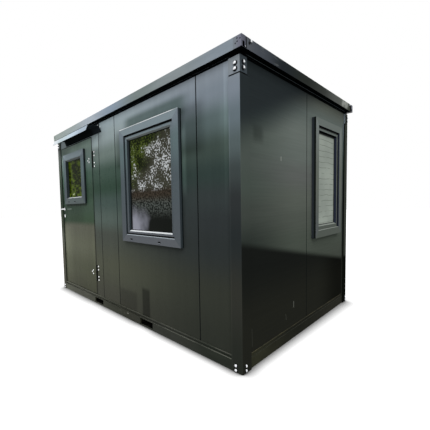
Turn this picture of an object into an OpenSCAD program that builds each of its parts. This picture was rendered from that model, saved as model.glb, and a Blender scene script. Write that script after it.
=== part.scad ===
// Small steel-framed office cabin with insulated wall panels, one outward-opening door,
// a window in the door, one beside it and one in the right-hand end wall.
// X runs along the long side, -Y is the front with the door, Z is up.
// The origin is the centre of the footprint on the ground.

/* [Cabin] */
// Length over the corner posts
body_l = 3200; // [3000:20:4200]
// Width over the corner posts
body_w = 2340; // [2100:20:3000]
// Height from the ground to the top of the roof edge
body_h = 2400; // [2390:10:3000]

/* [Walls] */
// Thickness of a sandwich wall panel
wall_t = 60; // [50:1:80]
// Width of the V at each panel joint, on one panel
joint_groove = 5; // [2:0.5:8]
// Width of the narrow panel between the door frame and the window panel
narrow_panel_w = 363; // [300:1:500]
// Width of the panel that holds the front window
window_panel_w = 1200; // [1100:10:1250]

/* [Corner posts] */
// Flange of a post on the long side
post_face_l = 95; // [80:1:120]
// Flange of a post on the end wall
post_face_w = 120; // [90:1:140]
// How far the post stands out from the panels
post_proud = 15; // [8:1:25]
// Thickness of the post steel
post_t = 4; // [3:0.5:6]
// Outer bend radius of the posts
post_bend_r = 10; // [5:1:12]
// Height of the roof corner that bolts over each post
corner_h = 117; // [80:1:150]
// Shadow gap between a post and the roof corner above it
corner_gap = 6; // [3:1:10]
// Flange of the roof corner, the same on both sides
corner_face = 92; // [80:1:110]
// How far the dark neck above a roof corner is set back from its face
corner_neck_back = 8; // [4:1:10]

/* [Base frame] */
// Height of the base frame
base_h = 115; // [110:1:140]
// Height of the proud skirt on the base rails
skirt_h = 84; // [79:1:95]
// Height of the rolled lip at the top of the base rails
base_lip_h = 8; // [4:1:12]
// How far the skirt and the lip stand out from the panels on the long sides
skirt_proud = 14; // [3:1:15]
// How far the skirt and the lip stand out from the panels on the end walls
end_skirt_proud = 5; // [3:1:15]
// Thickness of the base frame steel
base_t = 4; // [3:0.5:6]
// Clear width of a fork pocket
pocket_w = 205; // [150:5:240]
// Clear height of a fork pocket
pocket_h = 70; // [60:1:76]
// Centre distance of the two fork pockets
pocket_pitch = 965; // [800:5:1200]
// Number of floor bearers outside and between the pockets
bearer_count = 5; // [3:2:5]
// Width of a floor bearer
bearer_w = 50; // [40:1:80]
// Thickness of the floor deck
deck_t = 21; // [18:1:28]

/* [Roof frame] */
// Height of the roof edge
fascia_h = 80; // [70:1:110]
// How far the roof edge stands out from the posts
eave_out = 37; // [20:1:60]
// Depth of the hollow roof rail from its face inwards
rail_d = 65; // [55:1:80]
// Thickness of the roof rail steel
rail_t = 3; // [2:0.5:5]
// Height of the dark neck between the walls and the roof edge
neck_h = 25; // [15:1:40]
// How far the neck is set back behind the panels
neck_back = 10; // [5:1:20]
// Thickness of the insulated roof panel
roof_panel_t = 60; // [40:1:62]
// Thickness of the roof sheet
roof_sheet_t = 1.5; // [1:0.5:3]
// Height of the ribs on the roof sheet
roof_rib_h = 8; // [4:1:10]
// Number of ribs on the roof sheet
roof_rib_count = 9; // [5:1:13]

/* [Door] */
// Width of the door leaf
door_w = 948; // [850:1:1050]
// Height of the door leaf
door_h = 2040; // [1950:5:2070]
// Thickness of the door leaf
door_t = 50; // [40:1:54]
// Running gap at the lock edge of the leaf
door_gap = 8; // [6:1:12]
// Running gap at the hinge edge of the leaf
hinge_gap = 6; // [5:1:10]
// Running gap above and below the leaf
door_end_gap = 10; // [6:1:15]
// Air behind the leaf, in front of the stop
stop_gap = 5; // [5:1:8]
// How far the stop reaches behind the leaf
stop_w = 18; // [14:1:19]
// Width of the cover of the hinge-side jamb
jamb_cover_w = 173; // [140:1:200]
// How far the door frame reaches behind the panels' inner face
frame_inside = 10; // [5:1:15]

/* [Hinges] */
// Distance from the leaf's hinge edge to the hinge axis
hinge_set = 29; // [20:1:40]
// Height of a hinge
hinge_h = 206; // [160:1:240]
// Height of the middle of the lower hinge above the base frame
hinge_low = 294; // [200:1:400]
// Distance from the leaf's top down to the middle of the upper hinge
hinge_high = 282; // [200:1:400]
// Radius of the hinge knuckle
knuckle_r = 8; // [6:0.5:10]
// Radius of the hinge pin
hinge_pin_r = 4; // [3:0.5:5]
// Running clearance of the pin in the moving knuckle
pin_clear = 0.1; // [0.05:0.05:0.1]
// Thickness of the hinge plates
hinge_t = 3; // [2:0.5:4]
// Width of the hinge plate on the jamb
hinge_leaf_w = 44; // [30:1:50]
// Length of the flap on the door
hinge_flap_l = 148; // [110:1:180]

/* [Lock and lever] */
// Height of the lever above the base frame
lever_z = 1140; // [950:1:1200]
// Distance from the lock edge to the lever's spindle
backset = 42; // [40:1:70]
// Distance from the lever down to the key cylinder
lock_pitch = 104; // [72:1:120]
// Length of the lever
lever_l = 135; // [100:1:150]
// Distance from the leaf's face to the middle of the lever
lever_out = 58; // [45:1:70]
// Radius of the lever's neck and grip
lever_r = 9; // [7:0.5:11]
// Radius of the round rose behind the lever
rose_r = 26; // [22:1:30]
// Thickness of the rose and of the key plate
rose_t = 8; // [5:1:10]
// Running clearance of the lever's neck in the rose
neck_clear = 0.1; // [0.05:0.05:0.1]

/* [Windows] */
// Width of the front window
front_window_w = 880; // [700:10:1000]
// Width of the end window
end_window_w = 750; // [600:10:860]
// Height of the front and end windows
window_h = 1200; // [900:10:1300]
// Distance from the top of the walls down to the window frames' upper edge
window_drop = 205; // [130:5:300]
// How far the front window sits to the left of its panel's middle
front_window_shift = 8; // [0:1:20]
// Distance from the middle of the end wall to the end window
end_window_in = 122; // [60:1:200]
// Width of the frame's face
frame_face = 72; // [60:1:85]
// Depth of a window frame
frame_d = 70; // [60:1:80]
// How far the window frames stand out from the wall
frame_proud = 39; // [20:1:45]
// Width of the sash's face
sash_face = 38; // [30:1:50]
// Depth of the sash
sash_d = 48; // [40:1:55]
// How far the sash is set back from the frame's face
sash_back = 16; // [10:1:22]
// Thickness of the double glazing
glass_t = 24; // [20:1:28]
// How far the glass is set back from the sash's face
glass_back = 20; // [10:1:24]
// Width of the window in the door
door_window_w = 655; // [500:5:700]
// Height of the window in the door
door_window_h = 730; // [600:5:800]
// Distance from the leaf's top down to the door window's upper edge
door_window_drop = 108; // [80:1:160]
// Distance from the lock edge of the leaf to the door window
door_window_in = 107; // [90:1:140]
// How far the door window's frame stands out from the leaf
door_window_proud = 29; // [20:1:35]
// Width of the door window frame's face
door_window_face = 85; // [60:1:100]
// Fitting gap round each frame, sash and pane
fit_gap = 0.4; // [0.2:0.1:0.8]

/* [Rain hood] */
// Width of the rain hood over the door
hood_w = 1010; // [800:5:1100]
// Distance from the hinge edge of the leaf to the hood's right end, outwards
hood_past = 259; // [100:1:300]
// How far the hood's lower edge stands out from the wall
hood_out = 212; // [170:1:260]
// Height of the hood's lip
hood_lip_h = 64; // [50:1:70]
// How far the lip leans out towards its lower edge
hood_lean = 27; // [10:1:50]
// Height of the hood's rear fold above its line on the wall
hood_crest_h = 70; // [60:1:75]
// Distance of the hood's rear fold from the wall
hood_crest_out = 32; // [10:1:60]
// Drop of the lip's lower edge below the hood's line on the wall
hood_drop = 10; // [5:1:11]
// Room between the door leaf's top and the hood's line on the wall
hood_over = 16; // [16:1:30]
// How far the flange on the wall stops short of the hood's ends
hood_flange_in = 45; // [10:1:80]
// Thickness of the hood sheet
hood_t = 2; // [1.5:0.5:3]

/* [Hidden] */
$fn = 48;

// distances from the cabin's middle to the panels' outer faces
face_y = body_w / 2 - post_proud;
face_x = body_l / 2 - post_proud;
// the origin is midway between the rain hood's lip and the roof edge at the back
cabin_y = (face_y + hood_out - body_w / 2 - eave_out) / 2;
// inner faces of the walls
inner_y = face_y - wall_t;
inner_x = face_x - wall_t;
// top of the walls and underside of the roof edge
wall_top = body_h - fascia_h - neck_h;
eave_z = body_h - fascia_h;
wall_h = wall_top - base_h;
eave_y = body_w / 2 + eave_out;
eave_x = body_l / 2 + eave_out;
// the door, from its lock edge at the corner post to its hinge edge
door_x0 = -body_l / 2 + post_face_l + door_gap;
door_x1 = door_x0 + door_w;
door_z0 = base_h + door_end_gap;
door_z1 = door_z0 + door_h;
hinge_x = door_x1 + hinge_set;
jamb_x0 = door_x1 + hinge_gap;
joint_c = jamb_x0 + jamb_cover_w;
joint_b = joint_c + narrow_panel_w;
joint_a = joint_b + window_panel_w;
frame_depth = wall_t + frame_inside;
stop_y = door_t + stop_gap;
// fork pockets stand on the base rails' lower flange
pocket_z = base_t + base_t;
knuckle_h = hinge_h / 3;
knuckle_gap = 1;
lever_x = door_x0 + backset;
// lower edges of the windows, and the front window's left edge
window_z = wall_top - window_drop - window_h;
door_window_z = door_z1 - door_window_drop - door_window_h;
front_window_x = joint_b + (window_panel_w - front_window_w) / 2 - front_window_shift;
spindle_r = 5;
spindle_hole_r = 8;
steel = [0.16, 0.18, 0.17];
paint = [0.09, 0.12, 0.1];
frame_grey = [0.24, 0.27, 0.3];
glass_blue = [0.5, 0.6, 0.6, 0.5];
zinc = [0.75, 0.76, 0.78];
black = [0.03, 0.03, 0.03];
timber = [0.45, 0.35, 0.24];

// ---- shared shapes ----

// Puts a piece drawn about the cabin's middle in its place.
module centred() translate([0, cabin_y, 0]) children();

// Turns a piece drawn against the front wall's outer face onto the side at this angle.
module on_side(angle, out) centred() rotate([0, 0, angle]) translate([0, -out, 0]) children();
module on_front() on_side(0, face_y) children();

// A wall panel from x0 to x1, its outer face at y = 0, with a V on each jointed edge.
module panel(x0, x1, left = joint_groove, right = joint_groove)
    translate([0, 0, base_h]) linear_extrude(wall_h)
        polygon([[x0 + left, 0], [x1 - right, 0], [x1, right], [x1, wall_t], [x0, wall_t], [x0, left]]);

// A block from one corner to the other.
module block(low, high) translate(low) cube(high - low);

// A rectangular ring of this face width, its outer face at y = 0.
module ring(w, h, face, depth) difference() {
    cube([w, depth, h]);
    translate([face, -1, face]) cube([w - 2 * face, depth + 2, h - 2 * face]);
}

// ---- base frame ----

// An inward-facing channel of this length with a proud skirt and lip between the posts.
module base_rail(length, skirt_l, proud) {
    difference() {
        block([-length / 2, 0, 0], [length / 2, wall_t, base_h]);
        block([-length / 2 - 1, base_t, base_t], [length / 2 + 1, wall_t + 1, base_h - base_t]);
    }
    block([-skirt_l / 2, -proud, 0], [skirt_l / 2, 0, skirt_h]);
    block([-skirt_l / 2, -proud, base_h - base_lip_h], [skirt_l / 2, 0, base_h]);
}

module long_base_rail() color(steel) difference() {
    base_rail(2 * face_x, body_l - 2 * post_face_l, skirt_proud);
    for (side = [-1, 1])
        translate([side * pocket_pitch / 2 - pocket_w / 2, -skirt_proud - 1, pocket_z])
            cube([pocket_w, skirt_proud + base_t + 2, pocket_h]);
}
module short_base_rail() color(steel)
    base_rail(2 * inner_y, body_w - 2 * post_face_w, end_skirt_proud);
module base_rail_front() on_front() long_base_rail();
module base_rail_back() on_side(180, face_y) long_base_rail();
module base_rail_right() on_side(90, face_x) short_base_rail();
module base_rail_left() on_side(-90, face_x) short_base_rail();

module fork_pockets() color(steel) centred() {
    tube_l = 2 * (face_y - base_t);
    for (side = [-1, 1])
        translate([side * pocket_pitch / 2, 0, pocket_z + pocket_h / 2]) difference() {
            cube([pocket_w + 2 * base_t, tube_l, pocket_h + 2 * base_t], center = true);
            cube([pocket_w, tube_l + 2, pocket_h], center = true);
        }
}

// bearers stand between the end rails and the pockets, and one in the middle
module floor_bearers() color(steel) centred() {
    outer = (inner_x + pocket_pitch / 2 + pocket_w / 2) / 2;
    ends = inner_x - bearer_w;
    places = bearer_count == 3 ? [-outer, 0, outer] : [-ends, -outer, 0, outer, ends];
    for (x = places)
        block([x - bearer_w / 2, -inner_y, 0], [x + bearer_w / 2, inner_y, base_h - deck_t]);
}

module floor_deck() color(timber) centred()
    block([-inner_x, -inner_y, base_h - deck_t], [inner_x, inner_y, base_h]);

// ---- corners ----

// Angle with a rounded bend seen from above, its outer corner at the origin.
module angle_outline(along_x, along_y) difference() {
    union() {
        square([along_x, post_proud]);
        square([post_proud, along_y]);
    }
    difference() {
        square(post_bend_r);
        translate([post_bend_r, post_bend_r]) circle(post_bend_r);
    }
}

// The same angle folded from sheet, hollow behind its face and returned to the panel.
module folded_outline(along_x, along_y) difference() {
    angle_outline(along_x, along_y);
    translate([post_t, post_t]) square([along_x - 2 * post_t, post_proud]);
    translate([post_t, post_t]) square([post_proud, along_y - 2 * post_t]);
}

// Puts an angle drawn at the origin at one of the four corners.
module at_corner(sx, sy) centred() translate([sx * body_l / 2, sy * body_w / 2, 0])
    mirror([sx > 0 ? 1 : 0, 0, 0]) mirror([0, sy > 0 ? 1 : 0, 0]) children();

module post(sx, sy) color(steel) at_corner(sx, sy)
    linear_extrude(wall_top - corner_h - corner_gap) folded_outline(post_face_l, post_face_w);

module post_front_left() post(-1, -1);
module post_front_right() post(1, -1);
module post_back_left() post(-1, 1);
module post_back_right() post(1, 1);

// the roof's own corners, each with a set-back neck up to the roof edge
module roof_corners() color(steel) for (sx = [-1, 1], sy = [-1, 1]) at_corner(sx, sy) {
    back = corner_neck_back;
    translate([0, 0, wall_top - corner_h]) linear_extrude(corner_h) angle_outline(corner_face, corner_face);
    translate([0, 0, wall_top]) linear_extrude(neck_h) {
        translate([back, back]) square([corner_face - 2 * back, post_proud - back]);
        translate([back, back]) square([post_proud - back, corner_face - 2 * back]);
    }
}

// ---- roof ----

// Hollow roof rail with a flange under the roof panel and a set-back neck on the wall.
module roof_rail(length, neck_l, flange_l) {
    out = eave_out + post_proud;
    difference() {
        block([-length / 2, -out, eave_z], [length / 2, rail_d - out, body_h]);
        block([-length / 2 - 1, rail_t - out, eave_z + rail_t],
            [length / 2 + 1, rail_d - out - rail_t, body_h - rail_t]);
    }
    block([-flange_l / 2, rail_d - out - rail_t, eave_z], [flange_l / 2, wall_t, eave_z + rail_t]);
    block([-neck_l / 2, neck_back, wall_top], [neck_l / 2, wall_t, eave_z]);
}

module long_roof_rail() color(steel)
    roof_rail(2 * eave_x, 2 * (face_x - neck_back), 2 * (eave_x - rail_d));
module short_roof_rail() color(steel)
    roof_rail(2 * (eave_y - rail_d), 2 * inner_y, 2 * inner_y);
module roof_rail_front() on_front() long_roof_rail();
module roof_rail_back() on_side(180, face_y) long_roof_rail();
module roof_rail_right() on_side(90, face_x) short_roof_rail();
module roof_rail_left() on_side(-90, face_x) short_roof_rail();

roof_in_x = eave_x - rail_d;
roof_in_y = eave_y - rail_d;
roof_panel_z = eave_z + rail_t;

module roof_panel() color("white") centred()
    block([-roof_in_x, -roof_in_y, roof_panel_z], [roof_in_x, roof_in_y, roof_panel_z + roof_panel_t]);

module roof_sheet() color(steel) centred() {
    top = roof_panel_z + roof_panel_t;
    rib_w = 30;
    block([-roof_in_x, -roof_in_y, top], [roof_in_x, roof_in_y, top + roof_sheet_t]);
    for (i = [1 : roof_rib_count]) {
        x = -roof_in_x + i * 2 * roof_in_x / (roof_rib_count + 1);
        block([x - rib_w / 2, -roof_in_y, top], [x + rib_w / 2, roof_in_y, top + roof_rib_h]);
    }
}

// ---- wall panels ----

module front_narrow_panel() color(paint) on_front() panel(joint_c, joint_b);
module front_window_panel() color(paint) on_front() difference() {
    panel(joint_b, joint_a);
    translate([front_window_x, 0, window_z]) window_hole(front_window_w, window_h);
}
module front_corner_panel() color(paint) on_front() panel(joint_a, face_x, right = 0);
module right_panel_near() color(paint) on_side(90, face_x) panel(-inner_y, 0, left = 0);
module right_window_panel() color(paint) on_side(90, face_x) difference() {
    panel(0, inner_y, right = 0);
    translate([end_window_in, 0, window_z]) window_hole(end_window_w, window_h);
}
module left_panel_near() color(paint) on_side(-90, face_x) panel(0, inner_y, right = 0);
module left_panel_far() color(paint) on_side(-90, face_x) panel(-inner_y, 0, left = 0);
module back_panel_middle() color(paint) on_side(180, face_y)
    panel(-window_panel_w / 2, window_panel_w / 2);
module back_panel_left() color(paint) on_side(180, face_y)
    panel(window_panel_w / 2, face_x, right = 0);
module back_panel_right() color(paint) on_side(180, face_y)
    panel(-face_x, -window_panel_w / 2, left = 0);

module window_hole(w, h) translate([-fit_gap, -1, -fit_gap])
    cube([w + 2 * fit_gap, wall_t + 2, h + 2 * fit_gap]);

// ---- door frame ----

module door_jamb_lock() color(paint) on_front() {
    x = door_x0 - door_gap;
    block([-face_x, 0, base_h], [x, wall_t, wall_top]);
    block([-inner_x, wall_t, base_h], [x, frame_depth, wall_top]);
    block([x, stop_y, base_h], [x + stop_w, frame_depth, wall_top]);
}
module door_jamb_hinge() color(paint) on_front() {
    translate([0, 0, base_h]) linear_extrude(wall_h) polygon([[jamb_x0, 0], [joint_c - joint_groove, 0],
        [joint_c, joint_groove], [joint_c, wall_t], [joint_c, frame_depth], [jamb_x0, frame_depth]]);
    block([jamb_x0 - stop_w, stop_y, base_h], [jamb_x0, frame_depth, wall_top]);
}
module door_head() color(paint) on_front() {
    x0 = door_x0 - door_gap;
    z = door_z1 + door_end_gap;
    block([x0, 0, z], [jamb_x0, stop_y, wall_top]);
    block([x0 + stop_w, stop_y, z - stop_w], [jamb_x0 - stop_w, frame_depth, wall_top]);
}
module door_sill() color(zinc) on_front()
    block([door_x0 - door_gap + stop_w, stop_y, base_h],
        [jamb_x0 - stop_w, frame_depth, base_h + door_end_gap + stop_w / 2]);

// ---- windows ----

// Frame, sash and pane of one window, drawn with the frame's lower left corner on the wall.
module window_frame(w) color(frame_grey)
    translate([0, -frame_proud, 0]) ring(w, window_h, frame_face, frame_d);
module window_sash(w) color(frame_grey) {
    in = frame_face + fit_gap;
    translate([in, sash_back - frame_proud, in])
        ring(w - 2 * in, window_h - 2 * in, sash_face, sash_d);
}
module window_glass(w) color(glass_blue) {
    in = frame_face + sash_face + 2 * fit_gap;
    translate([in, sash_back + glass_back - frame_proud, in])
        cube([w - 2 * in, glass_t, window_h - 2 * in]);
}
module at_front_window() on_front() translate([front_window_x, 0, window_z]) children();
module at_end_window() on_side(90, face_x) translate([end_window_in, 0, window_z]) children();
module front_window_frame() at_front_window() window_frame(front_window_w);
module front_window_sash() at_front_window() window_sash(front_window_w);
module front_window_glass() at_front_window() window_glass(front_window_w);
module end_window_frame() at_end_window() window_frame(end_window_w);
module end_window_sash() at_end_window() window_sash(end_window_w);
module end_window_glass() at_end_window() window_glass(end_window_w);

// ---- door ----

module at_door_window() on_front()
    translate([door_x0 + door_window_in, 0, door_window_z]) children();

// The spindle's axis at the leaf's outer face.
module at_lever() on_front() translate([lever_x, 0, base_h + lever_z]) children();

module door_leaf() color(paint) difference() {
    on_front() block([door_x0, 0, door_z0], [door_x1, door_t, door_z1]);
    at_door_window() window_hole(door_window_w, door_window_h);
    at_lever() translate([0, -1, 0]) rotate([-90, 0, 0]) cylinder(r = spindle_hole_r, h = door_t + 2);
}
module door_window_frame() color(frame_grey) at_door_window()
    translate([0, -door_window_proud, 0])
        ring(door_window_w, door_window_h, door_window_face, door_window_proud + door_t);
module door_window_glass() color(glass_blue) at_door_window() {
    in = door_window_face + fit_gap;
    translate([in, glass_back / 2, in])
        cube([door_window_w - 2 * in, glass_t, door_window_h - 2 * in]);
}

// Middles of the two hinges, on the hinge axis.
module at_hinges() on_front() for (z = [base_h + hinge_low, door_z1 - hinge_high])
    translate([hinge_x, -hinge_t - knuckle_r, z]) children();

module hinge_plates() color(black) at_hinges() {
    back = knuckle_r + hinge_t;
    web = knuckle_h / 2 - knuckle_gap;
    block([knuckle_r, knuckle_r, -hinge_h / 2], [knuckle_r + hinge_leaf_w, back, hinge_h / 2]);
    for (s = [-1, 1]) translate([0, 0, s * knuckle_h]) {
        cylinder(r = knuckle_r, h = knuckle_h, center = true);
        block([knuckle_gap, knuckle_gap, -web], [knuckle_r + knuckle_gap, back - knuckle_gap, web]);
    }
    cylinder(r = hinge_pin_r, h = 2 * knuckle_h, center = true);
}
module hinge_flaps() color(black) at_hinges() {
    back = knuckle_r + hinge_t;
    half = knuckle_h / 2 - knuckle_gap;
    web = half - knuckle_gap;
    root = knuckle_r + 4;
    wide = hinge_flap_l * 0.72;
    tip = 12;
    difference() {
        union() {
            cylinder(r = knuckle_r, h = 2 * half, center = true);
            block([-root, knuckle_gap, -web], [-knuckle_gap, back - knuckle_gap, web]);
        }
        cylinder(r = hinge_pin_r + pin_clear, h = 4 * half, center = true);
    }
    translate([0, back, 0]) rotate([90, 0, 0]) linear_extrude(hinge_t)
        polygon([[-knuckle_r, -half], [-wide, -half], [-hinge_flap_l, -tip], [-hinge_flap_l, tip],
            [-wide, half], [-knuckle_r, half]]);
}

// Rose and key plate on both faces of the leaf.
module lock_plates() color(zinc) for (inside = [0, 1])
    at_lever() translate([0, inside ? door_t : 0, 0])
        rotate([inside ? -90 : 90, 0, 0]) {
            difference() {
                cylinder(r = rose_r, h = rose_t);
                translate([0, 0, -1]) cylinder(r = lever_r + neck_clear, h = rose_t + 2);
            }
            translate([0, inside ? lock_pitch : -lock_pitch, 0]) linear_extrude(rose_t) union() {
                key_r = 16;
                translate([0, key_r / 2]) circle(key_r);
                translate([0, -key_r / 2]) circle(key_r);
                translate([-key_r, -key_r / 2]) square([2 * key_r, key_r]);
            }
        }

// Both levers on one spindle.
module lever_handle() color(zinc) at_lever() {
    for (inside = [0, 1]) {
        y = inside ? door_t + lever_out : -lever_out;
        face = inside ? door_t : 0;
        translate([0, (y + face) / 2, 0]) rotate([90, 0, 0])
            cylinder(r = lever_r, h = abs(y - face), center = true);
        translate([0, y, 0]) {
            sphere(r = lever_r);
            rotate([0, 90, 0]) cylinder(r = lever_r, h = lever_l - lever_r);
            translate([lever_l - lever_r, 0, 0]) sphere(r = lever_r);
        }
    }
    rotate([-90, 0, 0]) cylinder(r = spindle_r, h = door_t);
}

// ---- rain hood ----

// One straight fold of the hood from p to q in the section, its thickness to the left.
module fold(p, q) {
    step = (q - p) / norm(q - p);
    side = [-step[1], step[0]] * hood_t;
    polygon([p, q, q + side, p + side]);
}

// One bent sheet: a lip, a top that falls to it, a rear fold and a flange on the wall.
module rain_hood() color(paint) {
    // y out from the wall is negative, z is up from the hood's line on the wall
    low = [-hood_out, -hood_drop];
    high = [hood_lean - hood_out, hood_lip_h - hood_drop];
    crest = [-hood_crest_out, hood_crest_h];
    foot = [0, 0];
    flange_h = wall_top - door_z1 - hood_over;
    x1 = door_x1 + hood_past;
    on_front() translate([x1 - hood_w, 0, door_z1 + hood_over]) {
        rotate([90, 0, 90]) linear_extrude(hood_w) {
            fold(high, low);
            fold(crest, high);
            fold(foot, crest);
        }
        block([hood_flange_in, -hood_t, 0], [hood_w - hood_flange_in, 0, flange_h]);
    }
}

base_rail_front();
base_rail_back();
base_rail_left();
base_rail_right();
fork_pockets();
floor_bearers();
floor_deck();
post_front_left();
post_front_right();
post_back_left();
post_back_right();
roof_corners();
roof_rail_front();
roof_rail_back();
roof_rail_left();
roof_rail_right();
roof_panel();
roof_sheet();
front_narrow_panel();
front_window_panel();
front_corner_panel();
right_panel_near();
right_window_panel();
left_panel_near();
left_panel_far();
back_panel_left();
back_panel_middle();
back_panel_right();
door_jamb_lock();
door_jamb_hinge();
door_head();
door_sill();
front_window_frame();
front_window_sash();
front_window_glass();
end_window_frame();
end_window_sash();
end_window_glass();
door_leaf();
door_window_frame();
door_window_glass();
hinge_plates();
hinge_flaps();
lock_plates();
lever_handle();
rain_hood();
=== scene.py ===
import math

import bmesh
import bpy
from mathutils import Matrix, Vector


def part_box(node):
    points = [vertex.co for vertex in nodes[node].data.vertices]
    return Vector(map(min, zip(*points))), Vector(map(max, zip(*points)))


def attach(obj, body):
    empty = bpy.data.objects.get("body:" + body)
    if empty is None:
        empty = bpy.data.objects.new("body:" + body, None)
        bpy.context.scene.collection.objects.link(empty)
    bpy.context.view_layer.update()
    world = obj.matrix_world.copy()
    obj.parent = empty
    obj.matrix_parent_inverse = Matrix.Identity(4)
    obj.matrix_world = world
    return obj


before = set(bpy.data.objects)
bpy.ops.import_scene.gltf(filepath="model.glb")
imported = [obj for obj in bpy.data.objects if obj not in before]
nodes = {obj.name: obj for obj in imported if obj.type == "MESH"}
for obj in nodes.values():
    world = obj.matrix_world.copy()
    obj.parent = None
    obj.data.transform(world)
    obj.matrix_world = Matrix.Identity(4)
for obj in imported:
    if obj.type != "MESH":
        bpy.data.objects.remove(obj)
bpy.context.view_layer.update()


# ---- Base frame ----
# Cold-rolled channels with a proud skirt and a rolled lip, two fork pockets and the floor
# bearers, welded up and powder coated anthracite. The tones along the rails are painted
# reflection, the ends are painted darker as shade, and the up-facing ledges are painted lighter
# with a little dust and a painted highlight. The skirt is scuffed where the forks and straps touch
# it.

def tone(red, green, blue):
    """A paint tone from its 8-bit card value."""
    card = [c / 255 for c in (red, green, blue)]
    return [c / 12.92 if c <= 0.04045 else ((c + 0.055) / 1.055) ** 2.4 for c in card] + [1]


def add(tree, kind, feeds=None, **settings):
    """One shader node, with what feeds each of its sockets."""
    made = tree.nodes.new(kind)
    for key, value in settings.items():
        setattr(made, key, value)
    for key, value in (feeds or {}).items():
        if isinstance(value, bpy.types.NodeSocket):
            tree.links.new(value, made.inputs[key])
        else:
            made.inputs[key].default_value = value
    return made


def calc(tree, operation, first, second=0.0):
    return add(tree, "ShaderNodeMath", {0: first, 1: second}, operation=operation).outputs[0]


def fade(tree, value, start, end, low=0.0, high=1.0):
    """Runs smoothly from low at start to high at end."""
    feeds = {"Value": value, "From Min": start, "From Max": end, "To Min": low, "To Max": high}
    return add(tree, "ShaderNodeMapRange", feeds, interpolation_type="SMOOTHSTEP").outputs["Result"]


def both(tree, *shares):
    """The product of several shares."""
    total = shares[0]
    for share in shares[1:]:
        total = calc(tree, "MULTIPLY", total, share)
    return total


def between(tree, value, low, high, soft):
    """1 from low to high, fading out over soft on either side."""
    return both(tree, fade(tree, value, low - soft, low), fade(tree, value, high + soft, high))


def axes(tree, place):
    parts = add(tree, "ShaderNodeSeparateXYZ", {0: place})
    return parts.outputs[0], parts.outputs[1], parts.outputs[2]


def facing(tree):
    """Which way the surface faces on the cabin, as x, y and z."""
    return axes(tree, add(tree, "ShaderNodeTexCoord").outputs["Normal"])


def blend(tree, factor, first, second, how="MIX"):
    """Two colours mixed by a factor."""
    made = add(tree, "ShaderNodeMix", {"Factor": factor}, data_type="RGBA", blend_type=how)
    for socket, value in ((made.inputs[6], first), (made.inputs[7], second)):
        if isinstance(value, bpy.types.NodeSocket):
            tree.links.new(value, socket)
        else:
            socket.default_value = value
    return made.outputs[2]


def scaled(tree, colour, factor):
    """A colour made lighter or darker by a factor."""
    feeds = {0: colour, "Scale": factor}
    return add(tree, "ShaderNodeVectorMath", feeds, operation="SCALE").outputs[0]


def bands(tree, value, length, stops):
    """Colours by distance along the piece: stops are (metres, card tone)."""
    share = calc(tree, "DIVIDE", value, length)
    made = add(tree, "ShaderNodeValToRGB", {0: share})
    ramp = made.color_ramp
    ramp.interpolation = "EASE"
    while len(ramp.elements) < len(stops):
        ramp.elements.new(0.5)
    for element, (metres, card) in zip(ramp.elements, stops):
        element.position = metres / length
        element.color = tone(*card)
    return made.outputs[0]


def by_length(tree, x, stops):
    """Colours along the cabin, by distance from just past its left-hand end."""
    half = 1.7
    return bands(tree, calc(tree, "ADD", x, half), 2 * half, stops)


def by_depth(tree, y, stops):
    """Colours across the cabin, by distance from the front of the rain hood."""
    half = 1.3
    return bands(tree, calc(tree, "ADD", y, half), 2 * half, stops)


def area(tree, across, up, box, soft):
    """1 inside a box (left, right, foot, top) on a face, fading out over soft (across, up)."""
    left, right, foot, top = box
    sideways = between(tree, across, left, right, soft[0])
    return both(tree, sideways, between(tree, up, foot, top, soft[1]))


def grain(tree, place, size, stretch=(1, 1, 1), detail=4.0):
    """Noise of this grain size in metres, drawn out along an axis by stretch."""
    moved = add(tree, "ShaderNodeMapping", {"Vector": place, "Scale": [1 / s for s in stretch]})
    feeds = {"Vector": moved.outputs[0], "Scale": 1 / size, "Detail": detail}
    return add(tree, "ShaderNodeTexNoise", feeds).outputs[0]


def mottle(tree, place, size, low, high, first, second, stretch=(1, 1, 1)):
    """Two card tones in patches of this size. The closer low and high, the sharper the patches."""
    share = fade(tree, grain(tree, place, size, stretch), low, high)
    return blend(tree, share, tone(*first), tone(*second))


def patches(size, low, high, first, second, stretch=(1, 1, 1)):
    """The colour of a finish that is only two card tones in patches."""
    return lambda tree, place: mottle(tree, place, size, low, high, first, second, stretch)


def scratch(tree, along, up, first, last, wide):
    """1 on a fine mark from first to last on a face, 0 beside it."""
    reach = math.dist(first, last)
    step = [(b - a) / reach for a, b in zip(first, last)]
    right = calc(tree, "SUBTRACT", along, first[0])
    rise = calc(tree, "SUBTRACT", up, first[1])
    run = calc(tree, "ADD", both(tree, right, step[0]), both(tree, rise, step[1]))
    side = calc(tree, "SUBTRACT", both(tree, right, step[1]), both(tree, rise, step[0]))
    middle = calc(tree, "ABSOLUTE", calc(tree, "SUBTRACT", run, reach / 2))
    past = calc(tree, "MAXIMUM", calc(tree, "SUBTRACT", middle, reach / 2), 0.0)
    off = calc(tree, "SQRT", calc(tree, "ADD", both(tree, past, past), both(tree, side, side)))
    return fade(tree, off, wide, wide * 0.4)


def finish(name, colour, gloss, skin=0.004, relief=0.0004, shine=0.1, metal=0.0):
    """A material. colour(tree, place) gives its colour, gloss is the least and most roughness."""
    made = bpy.data.materials.new(name)
    made.use_nodes = True
    tree = made.node_tree
    shader = tree.nodes["Principled BSDF"]
    place = add(tree, "ShaderNodeTexCoord").outputs["Object"]
    tree.links.new(colour(tree, place), shader.inputs["Base Color"])
    worn = grain(tree, place, skin * 12)
    tree.links.new(fade(tree, worn, 0.3, 0.7, gloss[0], gloss[1]), shader.inputs["Roughness"])
    feeds = {"Height": grain(tree, place, skin, detail=2.0), "Distance": relief, "Strength": 0.6}
    tree.links.new(add(tree, "ShaderNodeBump", feeds).outputs[0], shader.inputs["Normal"])
    shader.inputs["Specular IOR Level"].default_value = shine
    shader.inputs["Metallic"].default_value = metal
    return made


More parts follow.
